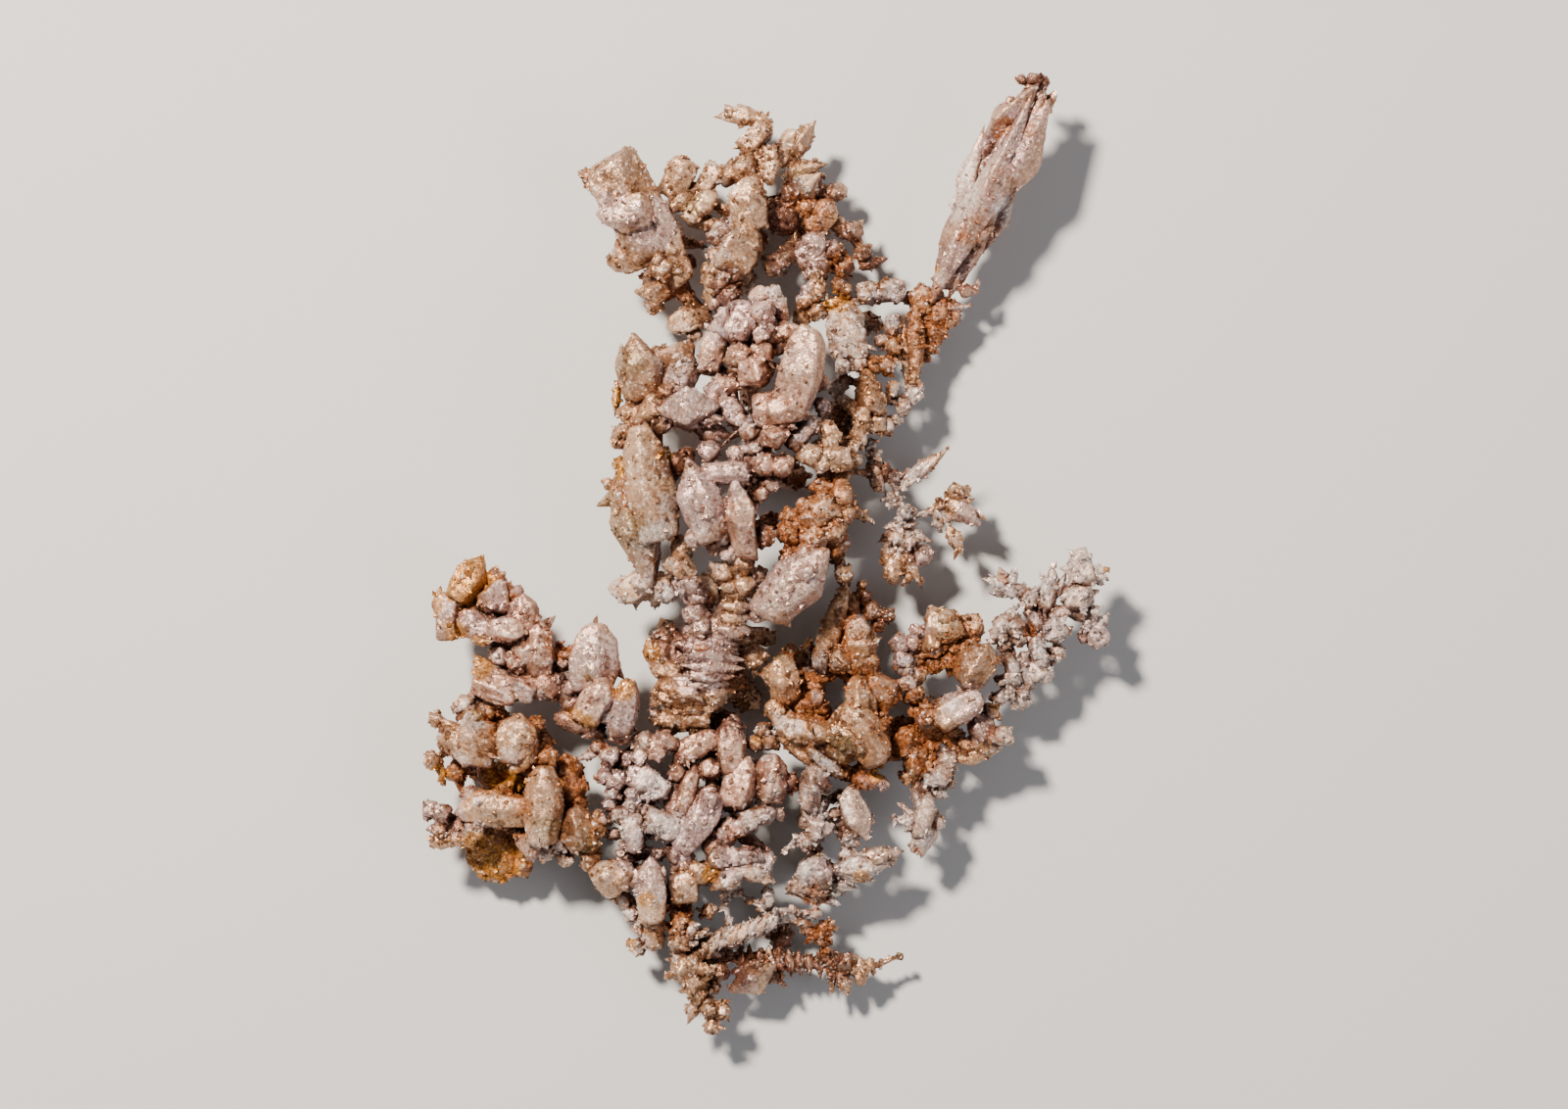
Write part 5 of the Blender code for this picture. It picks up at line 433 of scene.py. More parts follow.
# Where each stain lies, as (x, y, radius)
STAINS = {
    # a thin grey to white film of copper salts
    "film": [
        (-27.7, 58, 1.8), (-24.8, 50.8, 1.8), (-12, 35.8, 2.6), (-14, 38, 2), (-7.3, 59.5, 2.2),
        (-8.5, 51.5, 2), (-8, 49, 2), (-6.5, 53.6, 2), (6.5, 60.5, 2.4), (32.4, 59.5, 2.2), (33.8, 63.5, 2.6),
        (31.6, 57.2, 2.6), (39.4, 55.6, 2.4), (25.5, 45, 2.2), (27, 44.5, 2.2), (29.3, 42.4, 2),
        (32, 40.3, 2.2), (16, 42.8, 2.2), (21.5, 43, 2.4), (23.8, 44, 1.8), (11.5, 37.8, 3), (14, 36.5, 3.6),
        (14, 33.8, 3.6), (12.5, 30.8, 2.2), (20.5, 38, 1.8), (18.5, 35, 1.9), (23.7, 39.5, 1.4),
        (21, 30.8, 1.2), (22, 26.7, 1.4), (23.8, 26.2, 2.2), (22, 24.5, 1.8), (25.2, 27.5, 1.2),
        (20.8, 21.7, 1.5), (12.3, 27.3, 2.2), (-14, 31, 4.2), (-8.2, 36, 2), (-11, 27.4, 2.2),
        (-18.3, -1.5, 3.6), (-19, 2, 2.8), (-15, 8, 2.4), (-16, 4.5, 2), (-23.8, -5.5, 3.6), (-20, -5, 3.4),
        (-17, -5, 3.2), (-16, -7, 2.4), (-21.3, -8.3, 1.8), (-18.2, -8.5, 1.8), (-1, 42, 2.8), (1.5, 42, 2.2),
        (-7.8, 28.5, 1.7), (-2.8, 20.3, 2.3), (6.5, 20, 2.2), (-2, 17.2, 2), (-11.5, 3, 2.6), (-9, -1.2, 1.8),
        (-6.3, 0.5, 2), (8.5, 12.8, 1.8), (16.8, 18.2, 1.5), (17.3, 16.3, 1.7), (23.5, 12.5, 2.4),
        (20.5, 11.8, 1.7), (22.5, 10.4, 1.6), (20.3, 9.2, 2.2), (21.5, 8.1, 2.2), (22, 6, 3), (19.6, 4, 3.2),
        (24, 5, 2.6), (21.5, 2.5, 2.6), (24.6, 3, 2.4), (28.5, 5.2, 2), (-52, -7.5, 2.4), (-43.5, -16.5, 2),
        (-45.2, -16.7, 1.4), (-41, -23, 2.8), (-37, -23.4, 2), (-25.5, -26, 1.8), (-47.6, -25.3, 3.4),
        (-50, -34.2, 2.2), (-41.5, -33.4, 2), (-48.3, -39.2, 2.4), (-47.5, -44.5, 2.3), (-38.5, -47.5, 4),
        (-33, -49.3, 2.8), (-31, -30.3, 1.6), (-29.5, -32.8, 2.2), (-25.5, -40.5, 2.2), (-24, -42.3, 2.6),
        (-21, -41.3, 2.6), (-21.5, -44.5, 2.9), (-18.3, -44.2, 1.8), (-16, -44, 3), (-18.5, -37.6, 3.2),
        (-1.5, -43, 4), (1.5, -38, 2.6), (8.5, -23, 2.2), (-1, -30, 3.4), (3, -27.5, 2.2), (8.5, -18, 2.2),
        (9.5, -33.8, 2.2), (22.8, -21, 2.2), (23, -18.5, 2), (30, -23.8, 2.2), (34.3, -22.3, 1.4),
        (38.3, -29.5, 2.3), (40, -5, 4.4), (46, -5, 3.8), (52, -2, 4.8), (48.3, -5.5, 2.4), (51, -6.5, 3.2),
        (48.5, -9.5, 2.8), (53, -10, 2.8), (38.5, -12.5, 2.6), (44, -14, 3.8), (47, -12.5, 2.6),
        (45, -19, 3.2), (42, -19, 2.8), (41, -24, 2.8), (39.5, -22, 2.2), (26.8, -37, 1.8), (28, -39, 2.3),
        (26, -42.5, 3.2), (22.6, -43, 3), (25, -47, 2.4), (-21.5, -57.5, 3.6), (-21, -63.5, 2.4),
        (-16, -65, 2.2), (-4, -52.4, 4.2), (0, -50.5, 2.4), (0, -56, 2.2), (-6.2, -57.5, 2.6), (2, -57.8, 4),
        (7, -58.6, 2.2), (-6, -62, 4.4), (-1, -60.5, 4.2), (-11, -61.5, 2.8), (7.3, -39.4, 1.6),
        (8.3, -41.8, 2.2), (9.8, -42, 3), (12, -42, 2.2), (8.8, -46.3, 1.6), (4.5, -47.5, 2.8),
        (6.8, -48.3, 1.8), (13.2, -49, 2.6), (17, -53.2, 2.8), (6.3, -51.5, 2.8), (12.5, -54.3, 2.6),
        (11.3, -57.2, 1.6), (-44.5, -34, 1.4), (4.8, -27.8, 1.6),
    ],
    # lilac to pale pink, where the copper is thinly tarnished
    "lilac": [
        (8, 50.5, 3.4), (9.3, 24.2, 2.2), (-12.3, 23.7, 5), (-8.5, 20, 3.4), (-5, 38, 4.4), (-1, 38.5, 3.6),
        (-5.5, 23, 3.4), (4.5, 44, 2.4), (-9.3, 16.5, 2.6), (-1, -9, 2.8), (5, -4, 6.4), (25.5, 0, 2.4),
        (-47, -11.3, 2.2), (-32, -21.5, 2), (-27, -16, 3.4), (-22.7, -25.4, 3.6), (-54.5, -42, 2.8),
        (-51, -43, 2.4), (-25.5, -36, 4.4), (-24.5, -38.5, 3.4), (-18.5, -37.5, 3.8), (-22, -34, 2.4),
        (-20, -48.7, 4), (-10.5, -43, 3.4), (-6.5, -46, 2.8), (-11, -9.5, 3.6), (-12.5, -6, 2.8),
        (-9, -17, 5.4), (-2, -10.5, 2.4), (22, -15.5, 2.6), (24.5, -12.3, 1.8), (34.5, -28, 2.8),
        (-5, -49.3, 3.4), (-1, -49.5, 2.6), (-4, -70.2, 3), (8.8, -51.2, 2.2), (17.5, -37.2, 2.4),
        (39, 66, 4), (36, 58, 3), (42, 70, 3), (31, 48, 3), (-18.5, 54, 4), (-24.5, 55.5, 3), (33, 6.5, 2.4),
        (54, -13.5, 2.6), (-6, 13.4, 4.4), (-10.6, 9, 4), (-43.5, -7.6, 3.4), (-33, -17.5, 2.2),
        (20.5, 39.6, 1.6), (18.8, 41, 2.4), (25, 14, 2.4), (32.5, -24.5, 3.4), (-14.8, -47.4, 3),
        (-18.6, -53, 3.4), (45, -11.5, 2.4), (-9.5, -40.6, 2.6),
    ],
    # orange to brown rust in the hollows
    "rust": [
        (-15.5, 43.3, 2.4), (-12.2, 34.6, 1.2), (8.4, 55.6, 2.8), (12.4, 47.6, 2.8), (5, 58, 1.8),
        (27.2, 39.2, 5.4), (27.5, 36.4, 3.2), (26.3, 33.6, 2.2), (19.5, 31, 2), (17.6, 31.2, 1.5),
        (20.5, 35.6, 1.4), (9, 7, 5.6), (6, 5, 4.4), (4, 5.5, 3.4), (3.5, 2.8, 3.2), (11.7, 9.6, 3.4),
        (12.5, 6, 3.4), (10.5, 2.5, 3.4), (7, 10.6, 3), (-22.3, 10, 3), (-41.3, -5.4, 2.4),
        (-46.2, -4.5, 1.8), (-34.6, -14.8, 2.2), (-31.7, -15.3, 1.4), (-43.8, -26.8, 2.8), (-51, -35.5, 2.4),
        (-50.2, -37.8, 2), (-37, -27, 1.7), (-35.6, -31, 2.4), (-43, -36.8, 4.6), (-32, -36.8, 4.8),
        (-43, -50.6, 5.6), (-48, -50, 2.8), (-39.5, -40.5, 2.2), (-27.2, -31.5, 1.6), (-5.5, -45.2, 1.6),
        (-5, -20.5, 2), (-10.3, -14.8, 1), (3.3, -13, 1.5), (6.8, -24, 4.4), (4, -15.5, 1.5),
        (14.3, -12.6, 3.2), (15, -16.5, 2.8), (19, -22, 3), (16, -35.4, 3.4), (18.6, -32.4, 2.6),
        (17.5, -28.5, 2.4), (22, -22.4, 2), (25.3, -24.8, 2.4), (24.5, -30, 3.8), (19.5, -30, 3),
        (33, -11.5, 3), (30, -17, 2.8), (27.5, -18, 2.6), (30.6, -13.7, 2.2), (36.5, -16.5, 1.5),
        (25.4, -33, 2.4), (28.5, -29.5, 2), (38.8, -3.8, 1.3), (42.5, -12.5, 1.4), (37.4, 62.6, 1.7),
        (35.8, 59, 1.6), (34.4, 55.6, 1.6), (32.8, 51.6, 1.5), (43, 69, 1.5), (38.6, 69.4, 1.7),
        (27.2, -43.2, 1.6), (25.3, -48.8, 1.3), (-14, -60, 2.4), (8.7, -62.6, 2.6), (7.5, -55.8, 2.4),
        (20.2, -34.4, 2), (21.5, -25.4, 3), (11.8, -20.5, 2.6), (36.8, -29.4, 1.4), (-28.6, -44.6, 1.6),
    ],
    # yellow ochre, in specks
    "ochre": [
        (-49, -4, 4.8), (-47.2, -1.8, 3), (-24.7, 25.5, 1.8), (-24, 14.5, 1.9), (-16.6, 16, 1.3),
        (-51, -5, 3.4), (-53.8, -8, 1.9), (-43.6, -50.8, 4.4), (-46.8, -48.2, 3), (-50.5, -12.8, 2.2),
        (-47, -18, 2.4), (-31, -26, 1.4), (-29, -27.2, 1.4), (-23.3, -21.8, 1.8), (-53.3, -36, 1.6),
        (-44, -36, 2.2), (-41, -36.6, 2), (-19.2, -15.8, 1.9), (-19.5, -56, 1.3), (-22.4, -63.5, 1.3),
        (56, -2.3, 1.2), (18, -35.8, 1.3), (15.5, -52.4, 1.4), (-9, -52, 1.4), (27, 46.8, 1.5),
        (11.5, 41, 2.2), (-1.5, -30.2, 0.9), (-46.5, -14, 1.3),
    ],
    # brown with a green cast
    "olive": [
        (-12.8, 57.5, 2.2), (5.5, 61, 3), (-21, 4, 3.6), (-25.8, 9, 2), (-28.5, -19, 1.8), (2, -15.7, 1.8),
        (-46.5, -26.3, 1.6), (-35.5, -44, 2.4), (-29, -46.3, 2.2), (12, -31.6, 2.6), (8.3, -48.3, 1.2),
        (11.5, -55.5, 1.3), (14, -33.5, 2), (-21.5, 31, 3), (29.6, -11, 2.8),
    ],
    # dark red oxide
    "maroon": [
        (3, 48.5, 3.2), (2.5, 55, 3), (3.5, 59.3, 2.2), (-6, 43.5, 3), (-11, 51.5, 2.2), (12, 47.5, 2.8),
        (10.5, 60, 2.4), (13.5, 53, 2.4), (17.6, 48.5, 2.6), (-14.3, 15.3, 3.2), (-0.5, 2, 2.8),
        (18, 13, 2.6), (20.5, 13.7, 2.2), (-16, -13.8, 3.4), (12.6, -10.5, 1.6), (17.6, -8.8, 3.6),
        (-6, -27, 2.8), (-2, -47.5, 2.4), (4, -37, 1.8), (1.3, -69.5, 1.7), (10, -37.5, 1.6),
        (7.5, -40.3, 1.5), (44, 77.3, 2.6), (24, -27, 2.4), (5, -66.5, 5), (-4, -67, 4), (10, -67, 4),
        (8.5, -62.5, 3), (1.2, 68, 1.6),
    ],
}


# ---------------------------------------------------------------- one crystal

def arrays_of(shape):
    """A bmesh's corners and faces, once it is freed."""
    corners = np.array([v.co for v in shape.verts])
    faces = np.array([[v.index for v in face.verts] for face in shape.faces])
    shape.free()
    return corners, faces


@cache
def ball(level):
    """A sphere in even triangles; each level has four times the last."""
    shape = bmesh.new()
    bmesh.ops.create_icosphere(shape, subdivisions=level, radius=1.0)
    return arrays_of(shape)


def direction(k, count, angle):
    """The k-th of count directions, from straight up to straight down, at an angle about Z."""
    height = 1 - 2 * (k + 0.5) / count
    flat = math.sqrt(1 - height * height)
    return np.array([flat * math.cos(angle), flat * math.sin(angle), height])


def fineness(width):
    """The ball level of a crystal, so that its edges stay crisp."""
    return 5 if width > 7.4 else 4 if width > 3.6 else 3 if width > 1.6 else 2


def bounded(directions, normals, distances, crispness):
    """How far a convex body, given by its faces, reaches in each direction."""
    lean = np.maximum(directions @ normals.T, 0) / distances
    most = lean.max(axis=1)
    return 1 / (most * ((lean / most[:, None]) ** crispness).sum(axis=1) ** (1 / crispness))


def long_faces(form, half, radius, dice):
    """The faces of a crystal with +Z along it: outward normals and distances from its middle."""
    sides = int(dice.choice([4, 5, 6], p=[0.2, 0.4, 0.4]))
    turn = dice.uniform(0, math.tau)
    rings = [((share - 0.5) * 2 * half, wide * radius) for share, wide in PROFILES[form]]
    faces = []
    for k in range(sides):
        angle = turn + (k + dice.uniform(-0.18, 0.18)) * math.tau / sides
        across, up = math.cos(angle), math.sin(angle)
        share = dice.uniform(0.86, 1.04)
        for (low, first), (high, second) in zip(rings, rings[1:]):
            normal = np.array([across * (high - low), up * (high - low), (first - second) * share])
            normal /= np.linalg.norm(normal)
            reach = math.hypot(normal[0], normal[1]) * first * share + normal[2] * low
            broken_off = high == half and second > radius * 0.3 and form != "blunt"
            if broken_off and dice.uniform() < 0.3:
                continue
            faces.append((normal, max(reach * dice.uniform(0.92, 1.06), radius * 0.2)))
    for end, share in ((1, rings[-1][1] / radius), (-1, rings[0][1] / radius)):
        if share > 0.3:
            tilt = 0.2 if form in ("block", "blunt") else 0.45
            normal = np.array([dice.uniform(-tilt, tilt), dice.uniform(-tilt, tilt), end])
            faces.append((normal / np.linalg.norm(normal), half * dice.uniform(0.9, 0.98)))
    return faces


def lump_faces(radius, dice):
    """The faces of a crystal with no long direction."""
    count = int(dice.integers(9, 13))
    start = dice.uniform(0, math.tau)
    faces = []
    for k in range(count):
        way = direction(k, count, start + k * EVEN_TURN + dice.uniform(-0.25, 0.25))
        faces.append((way, radius * dice.uniform(0.84, 1.04)))
    return faces


def axes_along(base, tip):
    """Columns: across in plan, through the depth, along."""
    along = (tip - base) / max(np.linalg.norm(tip - base), 1e-6)
    side = np.cross(along, (0, 0, 1))
    side = side / np.linalg.norm(side) if np.linalg.norm(side) > 0.2 else np.array([1.0, 0, 0])
    deep = np.cross(side, along)
    return np.stack([side, deep / np.linalg.norm(deep), along], axis=1)


def crystal(form, base, tip, width, dice, tone=None, plain=0):
    """One crystal: where it is, its faces, and its mesh in millimetres."""
    base, tip = np.array(base, float), np.array(tip, float)
    base = base + (base - tip) * BASE_SUNK * (form in ("stub", "spear", "block", "blunt"))
    radius = width / 2 * 1.12
    if form == "lump":
        half = radius
        planes = lump_faces(radius, dice)
        turn = np.linalg.qr(dice.normal(size=(3, 3)))[0]
    else:
        half = max(np.linalg.norm(tip - base) / 2, width * 0.3)
        planes = long_faces(form, half, radius, dice)
        turn = axes_along(base, tip)
    if np.linalg.det(turn) < 0:
        turn[:, 0] *= -1
    normals = np.array([p[0] for p in planes])
    distances = np.array([p[1] for p in planes])
    ways, faces = ball(max(2, fineness(width) - plain))
    ways = ways * [radius, radius, half]
    ways = ways / np.linalg.norm(ways, axis=1, keepdims=True)
    local = ways * bounded(ways, normals, distances, CRISPNESS)[:, None]
    flat = 1.0 if form == "lump" else FLATTEN
    local[:, 1] *= flat
    middle = (base + tip) / 2
    return {"middle": middle, "turn": turn, "flat": flat, "normals": normals, "distances": distances,
            "corners": local @ turn.T + middle, "faces": faces, "width": width, "half": half,
            "tone": dice.uniform() if tone is None else tone, "smooth": width > 1.5, "bears": 0.7}


def stepped(base, tip, width, dice, plain=0):
    """A crystal that grew in steps: short ones in a row, each set a little off the last."""
    base, tip = np.array(base, float), np.array(tip, float)
    length = np.linalg.norm(tip - base)
    along = (tip - base) / length
    count = int(np.clip(round(length / width * 1.5), 2, 5))
    tone = dice.uniform()
    found = []
    for k in range(count):
        share = (k + 0.5) / count
        wide = width * dice.uniform(0.8, 1.02) * (1 - 0.25 * max(0.0, share - 0.5))
        off = np.cross(along, dice.normal(size=3))
        middle = base + (tip - base) * share + off / np.linalg.norm(off) * width * dice.uniform(0.02, 0.13)
        lean = along + dice.normal(scale=0.17, size=3)
        lean *= max(length / count * dice.uniform(0.7, 0.95), wide * 0.45) / np.linalg.norm(lean)
        last = k == count - 1
        start, end = (tip - lean * 2, tip) if last else (middle - lean, middle + lean)
        form = "spear" if last else str(dice.choice(["block", "stub", "spear"]))
        found.append(crystal(form, start, end, wide, dice, tone + dice.uniform(-0.15, 0.15), plain))
        found[-1]["bears"] = 0.35
    return found


def inside(body, places, share=0.88):
    """Which places lie well inside a crystal."""
    near = np.abs(places - body["middle"]).max(axis=1) < max(body["half"], body["width"]) + 1
    found = np.zeros(len(places), bool)
    local = (places[near] - body["middle"]) @ body["turn"]
    local[:, 1] /= body["flat"]
    found[near] = ((local @ body["normals"].T) / body["distances"]).max(axis=1) < share
    return found


def buried(body, others):
    """Whether nearly all of a crystal lies inside larger ones."""
    hidden = np.zeros(len(body["corners"]), bool)
    for other in others:
        if other is not body:
            hidden |= inside(other, body["corners"], 0.97)
    return hidden.mean() > 0.93


def grown_on(body, dice):
    """Smaller crystals in nearly the same direction, half sunk in the sides of a larger one."""
    width, half = body["width"], body["half"]
    found = []
    for _ in range(int(width * 0.75 * body["bears"] + dice.uniform())):
        angle = dice.uniform(0, math.tau)
        out = np.array([math.cos(angle), math.sin(angle) * body["flat"], 0.0])
        small = width * dice.uniform(0.22, 0.42)
        start = out * (width / 2 - small * 0.45) + [0, 0, dice.uniform(-0.8, 0.4) * half]
        lean = dice.normal(scale=0.14, size=3) + out * 0.22 + [0, 0, 1]
        end = start + lean / np.linalg.norm(lean) * small * dice.uniform(1.0, 2.0)
        form = str(dice.choice(["point", "spear", "stub"]))
        ends = np.array([start, end]) @ body["turn"].T + body["middle"]
        found.append(crystal(form, ends[0], ends[1], small, dice, body["tone"] + dice.uniform(-0.2, 0.2)))
    return found


def rosette(centre, width, sharp, dice):
    """A lump: a small crystal with smaller ones standing out of it all round."""
    tone = dice.uniform()
    found = [crystal("lump", centre, centre, width * 0.84, dice, tone)]
    count = (6 if sharp else 4) + int(width * 1.1)
    start = dice.uniform(0, math.tau)
    for k in range(count):
        way = direction(k, count, start + k * EVEN_TURN + dice.uniform(-0.4, 0.4))
        small = width * dice.uniform(0.26, 0.44)
        base = centre + way * width * 0.12
        reach = dice.uniform(0.5, 0.92) if sharp else dice.uniform(0.46, 0.62)
        tip = centre + (way + dice.normal(scale=0.15, size=3)) * width * reach
        form = str(dice.choice(["point", "spear", "lens"] if sharp else ["block", "point", "stub", "spear"]))
        found.append(crystal(form, base, tip, small, dice, tone + dice.uniform(-0.25, 0.25)))
    return found


# ---------------------------------------------------------------- grains

def facing(normals, dice):
    """Rotations that turn +Z to each normal, with a random spin about it."""
    z = normals / np.maximum(np.linalg.norm(normals, axis=1, keepdims=True), 1e-9)
    x = np.cross(dice.normal(size=z.shape), z)
    x /= np.linalg.norm(x, axis=1, keepdims=True)
    return np.stack([x, np.cross(z, x), z], axis=2)


def strewn(shell, places, normals, sizes, dice, uneven=0.0):
    """Copies of a small shell at the places, as corners and faces. Sizes are (n, 3)."""
    corners, faces = shell
    many = np.repeat(corners[None], len(places), axis=0)
    if uneven:
        many = many * dice.uniform(1 - uneven, 1 + uneven, size=many.shape[:2] + (1,))
    many = many * sizes[:, None, :]
    turned = np.einsum("nij,nkj->nki", facing(normals, dice), many) + places[:, None, :]
    steps = np.arange(len(places))[:, None, None] * len(corners)
    return turned.reshape(-1, 3), (faces[None] + steps).reshape(-1, 3)


def cube_shell():
    """A cube, one across its corners."""
    shape = bmesh.new()
    bmesh.ops.create_cube(shape, size=0.74)
    bmesh.ops.triangulate(shape, faces=shape.faces)
    return arrays_of(shape)


def octahedron_shell():
    """Eight faces, one across."""
    corners = np.array([(1, 0, 0), (0, 1, 0), (-1, 0, 0), (0, -1, 0), (0, 0, 1), (0, 0, -1)]) * 0.58
    faces = [(k, (k + 1) % 4, 4) for k in range(4)] + [((k + 1) % 4, k, 5) for k in range(4)]
    return corners, np.array(faces)


def point_shell():
    """A five-sided pointed crystal, one long, its base just below the origin."""
    sides = 5
    corners = [(0, 0, -0.2)]
    for height, reach in ((0.0, 0.42), (0.45, 0.5)):
        for k in range(sides):
            angle = math.tau * (k + height) / sides
            corners.append((reach * math.cos(angle), reach * math.sin(angle), height))
    corners.append((0, 0, 1.0))
    faces = []
    for k in range(sides):
        after = (k + 1) % sides
        faces.append((0, 1 + after, 1 + k))
        faces.append((1 + k, 1 + after, 6 + after))
        faces.append((1 + k, 6 + after, 6 + k))
        faces.append((6 + k, 6 + after, 11))
    return np.array(corners), np.array(faces)


def face_data(corners, faces):
    """The three corners of every triangle, its normal and its area."""
    a, b, c = (corners[faces[:, k]] for k in range(3))
    cross = np.cross(b - a, c - a)
    twice = np.linalg.norm(cross, axis=1)
    return a, b, c, cross / np.maximum(twice, 1e-9)[:, None], twice / 2


def spots_on(corners, faces, count, dice):
    """Random places on a surface, with the normal there."""
    a, b, c, normals, area = face_data(corners, faces)
    picked = dice.choice(len(faces), size=count, p=area / area.sum())
    u, v = dice.uniform(size=(2, count, 1))
    flip = (u + v) > 1
    u, v = np.where(flip, 1 - u, u), np.where(flip, 1 - v, v)
    return a[picked] + u * (b - a)[picked] + v * (c - a)[picked], normals[picked]


def on_surface(bodies, core, dice, density):
    """Places all over a branch, none of them buried in a crystal. density says how many per mm2."""
    spots, normals = [], []
    for body in bodies:
        area = face_data(body["corners"], body["faces"])[4].sum()
        share = 0.28 if body["width"] > 4.2 else 0.5 if body["width"] > 2.6 else 0.8
        count = int(area * density * share + dice.uniform())
        if count:
            found = spots_on(body["corners"], body["faces"], count, dice)
            spots.append(found[0])
            normals.append(found[1])
    area = face_data(*core)[4].sum()
    found = spots_on(core[0], core[1], int(area * density), dice)
    spots.append(found[0])
    normals.append(found[1])
    spots, normals = np.concatenate(spots), np.concatenate(normals)
    clear = spots[:, 2] > LEAST_HEIGHT
    for body in bodies:
        clear[clear] = ~inside(body, spots[clear])
    return spots[clear], normals[clear]


# ---------------------------------------------------------------- a branch

def read(mesh, what):
    """What every vertex has, its co or its normal, as rows of three."""
    found = np.empty(len(mesh.vertices) * 3, np.float32)
    mesh.vertices.foreach_get(what, found)
    return found.reshape(-1, 3).astype(float)


def core_of(node):
    """The branch's solid, drawn in a little, as corners in millimetres and triangles."""
    shape = bmesh.new()
    shape.from_mesh(node.data)
    bmesh.ops.remove_doubles(shape, verts=shape.verts, dist=1e-6)
    bmesh.ops.subdivide_edges(shape, edges=shape.edges, cuts=1, use_grid_fill=True)
    bmesh.ops.triangulate(shape, faces=shape.faces)
    shape.normal_update()
    tree = BVHTree.FromBMesh(shape)
    through = []
    for corner in shape.verts:
        across = tree.ray_cast(corner.co - corner.normal * 0.05 * MM, -corner.normal, CORE_THICKEST * MM)[3]
        through.append(CORE_THICKEST if across is None else across / MM)
    mesh = bpy.data.meshes.new("core")
    shape.to_mesh(mesh)
    shape.free()
    corners = read(mesh, "co") / MM
    drawn = np.minimum(CORE_DRAWN_IN, np.array(through) * 0.25)
    inward = read(mesh, "normal") * drawn[:, None]
    inward[:, 2] *= np.clip((corners[:, 2] - 0.3) / 1.5, 0, 1)
    mesh.calc_loop_triangles()
    faces = np.empty(len(mesh.loop_triangles) * 3, np.int32)
    mesh.loop_triangles.foreach_get("vertices", faces)
    return corners - inward, faces.reshape(-1, 3)


def at(x, y, z):
    """A place in the tables, in the model's frame, in millimetres."""
    return np.array([x - TABLE_MIDDLE[0], y - TABLE_MIDDLE[1], z - TABLE_LEVEL])


def braid(start, end, length, width, pitch, lean, dice):
    """Small plates side by side along a stem, all leaning one way, as in a feather."""
    start, end = at(*start), at(*end)
    along = (end - start) / np.linalg.norm(end - start)
    angle = math.radians(lean) + math.atan2(along[1], along[0])
    plates = []
    for k in range(int(np.linalg.norm(end - start) / pitch)):
        middle = start + along * pitch * (k + 0.5)
        half = np.array([math.cos(angle), math.sin(angle), 0]) * length / 2 * dice.uniform(0.85, 1.15)
        half[2] = dice.uniform(-0.4, 0.4)
        plates.append(crystal("lens", middle - half, middle + half, width * 1.15, dice))
    return plates


def bodies_of(table, dice):
    """All the crystals of a branch, the smaller ones on the larger."""
    bodies = []
    for form, *ends, width in table["crystals"]:
        base, tip = at(*ends[:3]), at(*ends[3:])
        if form == "back" or form == "stub" and width > STEPPED_OVER:
            bodies += stepped(base, tip, width, dice, plain=int(form == "back"))
        else:
            bodies.append(crystal(form, base, tip, width, dice))
    for row in table.get("braids", ()):
        bodies += braid(*row, dice)
    for body in list(bodies):
        if body["width"] > STEPPED_OVER:
            bodies += grown_on(body, dice)
    for x, y, z, width in table["lumps"]:
        bodies += rosette(at(x, y, z), width, table["spiky"] > SHARP_OVER, dice)
    large = [body for body in bodies if body["width"] > HIDES_OVER]
    return [body for body in bodies if body["width"] > HIDES_OVER or not buried(body, large)]


def grains_of(bodies, core, table, dice):
    """Cubes, octahedra and points over a branch, as (corners, faces, corners in each)."""
    spots, normals = on_surface(bodies, core, dice, GRAINS_PER_MM2 * table["grit"])
    count = len(spots)
    width = np.exp(dice.uniform(math.log(GRAIN_SIZES[0]), math.log(GRAIN_SIZES[1]), size=count))
    sizes = width[:, None] * dice.uniform(0.75, 1.25, size=(count, 3))
    lean = dice.normal(size=(count, 3))
    found = []
    for shell, part in ((octahedron_shell(), slice(0, count // 2)), (cube_shell(), slice(count // 2, count))):
        found.append(strewn(shell, spots[part], lean[part], sizes[part], dice, 0.1) + (len(shell[0]),))
    spots, normals = on_surface(bodies, core, dice, POINTS_PER_MM2 * table["spiky"])
    count = len(spots)
    width = dice.uniform(0.55, 1.1, size=count)
    sizes = np.stack([width, width, width * dice.uniform(1.3, 2.4, size=count)], axis=1)
    lean = normals + dice.normal(scale=0.45, size=(count, 3))
    shell = point_shell()
    found.append(strewn(shell, spots - normals * 0.3, lean, sizes, dice) + (len(shell[0]),))
    return found


